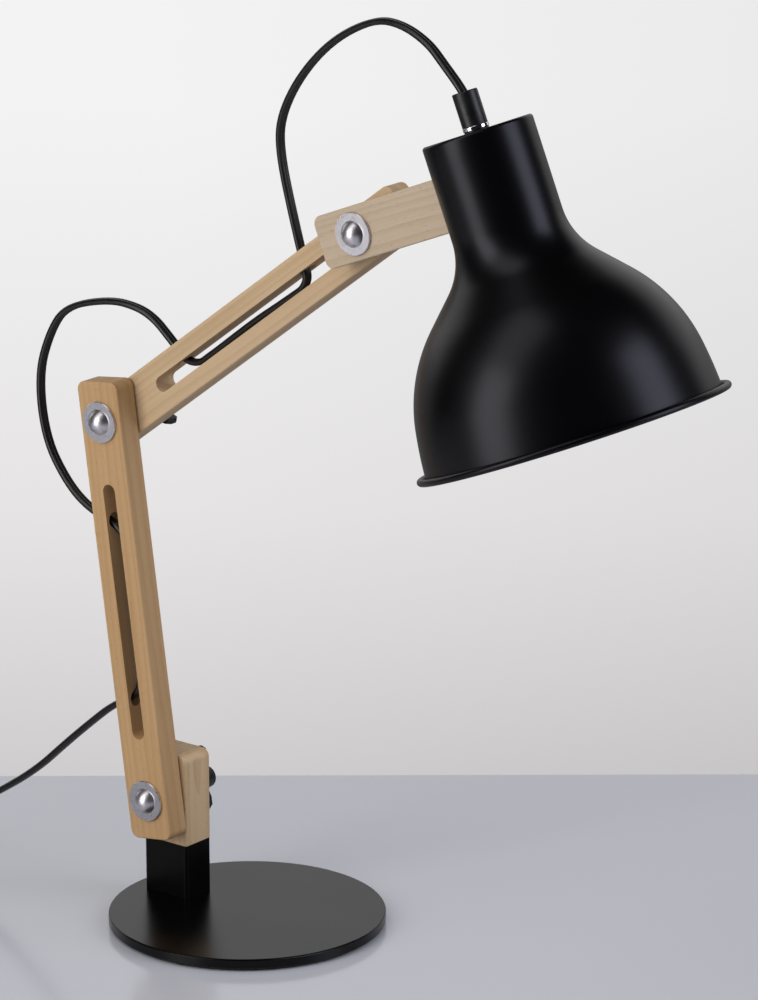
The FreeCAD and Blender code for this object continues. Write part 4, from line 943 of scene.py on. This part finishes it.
class LAMP_OT_light_source(bpy.types.Operator):
    """Finishes the cord grip, the lamp holder and the bulb"""

    bl_idname = "lamp.light_source"
    bl_label = "Holder and bulb"

    def execute(self, context):
        black = finishes().black_plastic
        coat(["cord_grip", "cord_collar", "holder_cap", "holder_body", "bulb_tip"],
             "holder_plastic", black, toned(black, 1.5), smooth=0.34, rough=0.44,
             cloud_scale=200.0)
        chrome = finishes().chrome
        coat(["ring"], "ring_chrome", chrome, toned(chrome, 0.95), smooth=0.06, rough=0.12,
             cloud_scale=400.0, Metallic=1.0)
        coat(["holder_shell", "holder_contact", "bulb_cap", "plug_pins"], "contact_brass",
             (0.62, 0.42, 0.16), (0.55, 0.36, 0.13), smooth=0.24, rough=0.36, cloud_scale=250.0,
             Metallic=1.0)
        coat(["holder_core"], "porcelain", (0.74, 0.72, 0.67), (0.70, 0.68, 0.62), smooth=0.16,
             rough=0.26)
        coat(["bulb_collar", "bulb_plate"], "bulb_collar_white", (0.80, 0.80, 0.78),
             (0.76, 0.76, 0.74), smooth=0.38, rough=0.48)
        coat(["bulb_globe"], "opal_globe", (0.86, 0.86, 0.84), (0.82, 0.82, 0.80), smooth=0.30,
             rough=0.38, Subsurface_Weight=0.2)
        return {"FINISHED"}


# ---- switch and plug

class LAMP_OT_mains(bpy.types.Operator):
    """Finishes the inline switch and the plug"""

    bl_idname = "lamp.mains"
    bl_label = "Switch and plug"

    def execute(self, context):
        black = finishes().black_plastic
        coat(["switch_base", "switch_cover", "plug_body", "plug_relief"], "mains_plastic",
             black, toned(black, 1.7), smooth=0.42, rough=0.52, cloud_scale=120.0,
             grit_scale=1400.0, bump=0.25)
        coat(["switch_rocker"], "rocker_plastic", black, toned(black, 1.3), smooth=0.25,
             rough=0.32)
        return {"FINISHED"}


# ---- stage

# How far the table and the backdrop reach, in metres.
TABLE_FRONT = 2.4
TABLE_SIDE = 2.6
BACKDROP_SIDE = 7
BACKDROP_FOOT = -3.5
BACKDROP_TOP = 4.0
# Heights at which the backdrop's paper, darkened towards the bottom with painted shade, is dark,
# in between and pale.
PAPER_SHADE_DEEPEST = -1.42
PAPER_SHADE_HALF = -1.0
PAPER_SHADE_END = -0.45
# Heights between which the paper's reflections brighten, and the share they start from.
MIRROR_LOW = 0.1
MIRROR_HIGH = 1.0
MIRROR_SHARE = 0.35
# Places along X between which painted shade dims the paper to the right, and the share it dims
# to.
RIGHT_SHADE_START = -2.75
RIGHT_SHADE_END = -2.10
RIGHT_SHADE_SHARE = 0.92
# Softboxes: distance from the lamp, width, and the colours of warm and cool light.
SOFTBOX_AWAY = 1.7
SOFTBOX_WIDTH = 0.8
WARM = (1.0, 0.985, 0.97)
COOL = (0.85, 0.88, 1.0)


def direction(azimuth, elevation):
    """Towards something at a turn from the front and a height above level."""
    return Vector((math.sin(azimuth) * math.cos(elevation),
                   -math.cos(azimuth) * math.cos(elevation), math.sin(elevation)))


def level_right(azimuth):
    """Level, to the right of whoever looks at the lamp from an azimuth."""
    return Vector((math.cos(azimuth), math.sin(azimuth), 0))


def aim(name, data, right, back, distance):
    """Put a camera or a softbox at a distance from the lamp's middle, looking at it."""
    made = bpy.data.objects.new(name, data)
    bpy.context.collection.objects.link(made)
    turn = Matrix((right, back.cross(right), back)).transposed().to_4x4()
    middle = Vector(studio().look_at)
    made.matrix_world = Matrix.Translation(middle + back * distance) @ turn
    return made


def place_camera():
    set_up = studio()
    back = direction(set_up.azimuth, set_up.elevation)
    level = level_right(set_up.azimuth)
    rise = back.cross(level)
    right = level * math.cos(set_up.roll) + rise * math.sin(set_up.roll)
    data = bpy.data.cameras.new("camera")
    data.sensor_fit = "VERTICAL"
    data.sensor_height = 24
    data.lens = set_up.lens
    data.clip_start = 0.05
    data.clip_end = 50
    bpy.context.scene.camera = aim("camera", data, right, back, set_up.distance)


def floor_axes():
    """Level directions to the camera's right and away, and the floor below its aim."""
    set_up = studio()
    away = Vector((-math.sin(set_up.azimuth), math.cos(set_up.azimuth), 0))
    return level_right(set_up.azimuth), away, Vector((*set_up.look_at[:2], 0))


def stage_plane(name, material, corners, facing):
    """Flat piece of the stage with four corners, whose front looks along a direction."""
    form = bmesh.new()
    bmesh.ops.contextual_create(form, geom=[form.verts.new(corner) for corner in corners])
    form.normal_update()
    turned_away = [face for face in form.faces if face.normal.dot(facing) < 0]
    bmesh.ops.reverse_faces(form, faces=turned_away)
    new_piece(name, form, material)


def place_table():
    """Pale glossy table whose back edge lies level across the picture."""
    level, away, middle = floor_axes()
    back_edge = middle + away * studio().table_back
    front_edge = middle - away * TABLE_FRONT
    side = level * TABLE_SIDE
    material = finish_material("table_top", (0.54, 0.55, 0.60), (0.52, 0.53, 0.58), smooth=0.14,
                               rough=0.17, cloud_scale=2.0, bump=0.0)
    stage_plane("table", material, [back_edge - side, front_edge - side,
                                    front_edge + side, back_edge + side], UP)


def backdrop_material():
    """Pale paper, darker low down with painted shade, that reflections see best high up; clear
    from behind.
    """
    material = bpy.data.materials.new("backdrop_paper")
    material.use_nodes = True
    tree = material.node_tree
    tree.nodes.clear()
    parts = add_node(tree, "ShaderNodeSeparateXYZ", Vector=object_vector(tree)).outputs
    # Painted shade: the paper's colour darkens towards the bottom.
    low = spread(tree, parts["Z"], PAPER_SHADE_DEEPEST, PAPER_SHADE_HALF)
    high = spread(tree, parts["Z"], PAPER_SHADE_HALF, PAPER_SHADE_END)
    below = blend(tree, low, (0.60, 0.585, 0.59, 1), (0.79, 0.775, 0.78, 1))
    colour = blend(tree, high, below, (0.90, 0.895, 0.895, 1))
    path = tree.nodes.new("ShaderNodeLightPath").outputs
    brighten = spread(tree, parts["Z"], MIRROR_LOW, MIRROR_HIGH, to_low=MIRROR_SHARE)
    mirrored = number_math(tree, "MULTIPLY", path["Is Glossy Ray"], brighten)
    through = number_math(tree, "MAXIMUM", mirrored, path["Is Transmission Ray"])
    seen = number_math(tree, "MAXIMUM", path["Is Camera Ray"], through)
    # Painted shade: the paper's glow dims towards the right.
    across = spread(tree, parts["X"], RIGHT_SHADE_START, RIGHT_SHADE_END, to_low=1.0, to_high=RIGHT_SHADE_SHARE)
    glow = add_node(tree, "ShaderNodeEmission", Color=colour,
                    Strength=number_math(tree, "MULTIPLY", seen, across))
    clear = tree.nodes.new("ShaderNodeBsdfTransparent")
    behind = tree.nodes.new("ShaderNodeNewGeometry").outputs["Backfacing"]
    pick = tree.nodes.new("ShaderNodeMixShader")
    for socket, source in zip(pick.inputs, (behind, glow.outputs[0], clear.outputs[0])):
        join(tree, source, socket)
    add_node(tree, "ShaderNodeOutputMaterial", Surface=pick.outputs[0])
    return material


def place_backdrop():
    level, away, floor = floor_axes()
    middle = floor + away * studio().backdrop_away
    side = level * BACKDROP_SIDE
    low, high = UP * BACKDROP_FOOT, UP * BACKDROP_TOP
    stage_plane("backdrop", backdrop_material(),
                [middle - side + low, middle + side + low, middle + side + high,
                 middle - side + high], -away)


def place_softbox(name, azimuth, elevation, height, power, colour):
    """Area light, placed by angles in degrees."""
    azimuth = math.radians(azimuth)
    data = bpy.data.lights.new(name, "AREA")
    data.shape = "RECTANGLE"
    data.size = SOFTBOX_WIDTH
    data.size_y = height
    data.energy = power
    data.color = colour
    back = direction(azimuth, math.radians(elevation))
    aim(name, data, level_right(azimuth), back, SOFTBOX_AWAY)


def build_world():
    """Pale to the camera, dim in reflections, and a soft fill on matt surfaces."""
    world = bpy.data.worlds.new("studio")
    bpy.context.scene.world = world
    world.use_nodes = True
    tree = world.node_tree
    background = tree.nodes["Background"]
    path = tree.nodes.new("ShaderNodeLightPath").outputs
    fill = blend(tree, path["Is Glossy Ray"], (0.48, 0.48, 0.49, 1), (0.012, 0.012, 0.015, 1))
    seen = blend(tree, path["Is Camera Ray"], fill, (0.88, 0.88, 0.88, 1))
    join(tree, seen, background.inputs["Color"])


class LAMP_OT_stage(bpy.types.Operator):
    """Sets the camera, the table, the backdrop and the softboxes"""

    bl_idname = "lamp.stage"
    bl_label = "Stage"

    def execute(self, context):
        place_camera()
        place_table()
        place_backdrop()
        build_world()
        set_up = studio()
        place_softbox("softbox_left", azimuth=-17, elevation=10, height=1.45,
                      power=set_up.left_power, colour=WARM)
        place_softbox("softbox_high", azimuth=-17, elevation=54, height=1.35,
                      power=set_up.high_power, colour=WARM)
        place_softbox("softbox_right", azimuth=109, elevation=22, height=1.45,
                      power=set_up.right_power, colour=COOL)
        context.scene.view_settings.view_transform = "Standard"
        return {"FINISHED"}


# ---- panel and run

class LAMP_PT_panel(bpy.types.Panel):
    """Lists the lamp's building steps and settings"""

    bl_idname = "LAMP_PT_panel"
    bl_label = "Desk Lamp"
    bl_space_type = "VIEW_3D"
    bl_region_type = "UI"
    bl_category = "Desk Lamp"

    def draw(self, context):
        for step in STEPS:
            self.layout.operator(step.bl_idname)
        for settings in SETTINGS:
            group, box = getattr(context.scene, settings), self.layout.box()
            for name in group.__annotations__:
                box.prop(group, name)


SETTINGS = {"lamp_sizes": LampSizes, "lamp_finishes": LampFinishes,
            "lamp_studio": StudioSettings}
STEPS = (LAMP_OT_effects, LAMP_OT_stage, LAMP_OT_cords, LAMP_OT_shade, LAMP_OT_woodwork,
         LAMP_OT_hardware, LAMP_OT_base, LAMP_OT_light_source, LAMP_OT_mains)


def register():
    for item in (*SETTINGS.values(), *STEPS, LAMP_PT_panel):
        bpy.utils.register_class(item)
    for name, group in SETTINGS.items():
        setattr(bpy.types.Scene, name, PointerProperty(type=group))


def unregister():
    for name in SETTINGS:
        delattr(bpy.types.Scene, name)
    for item in reversed((*SETTINGS.values(), *STEPS, LAMP_PT_panel)):
        bpy.utils.unregister_class(item)


def main():
    register()
    for step in STEPS:
        family, name = step.bl_idname.split(".")
        getattr(getattr(bpy.ops, family), name)()


if __name__ == "__main__":
    main()
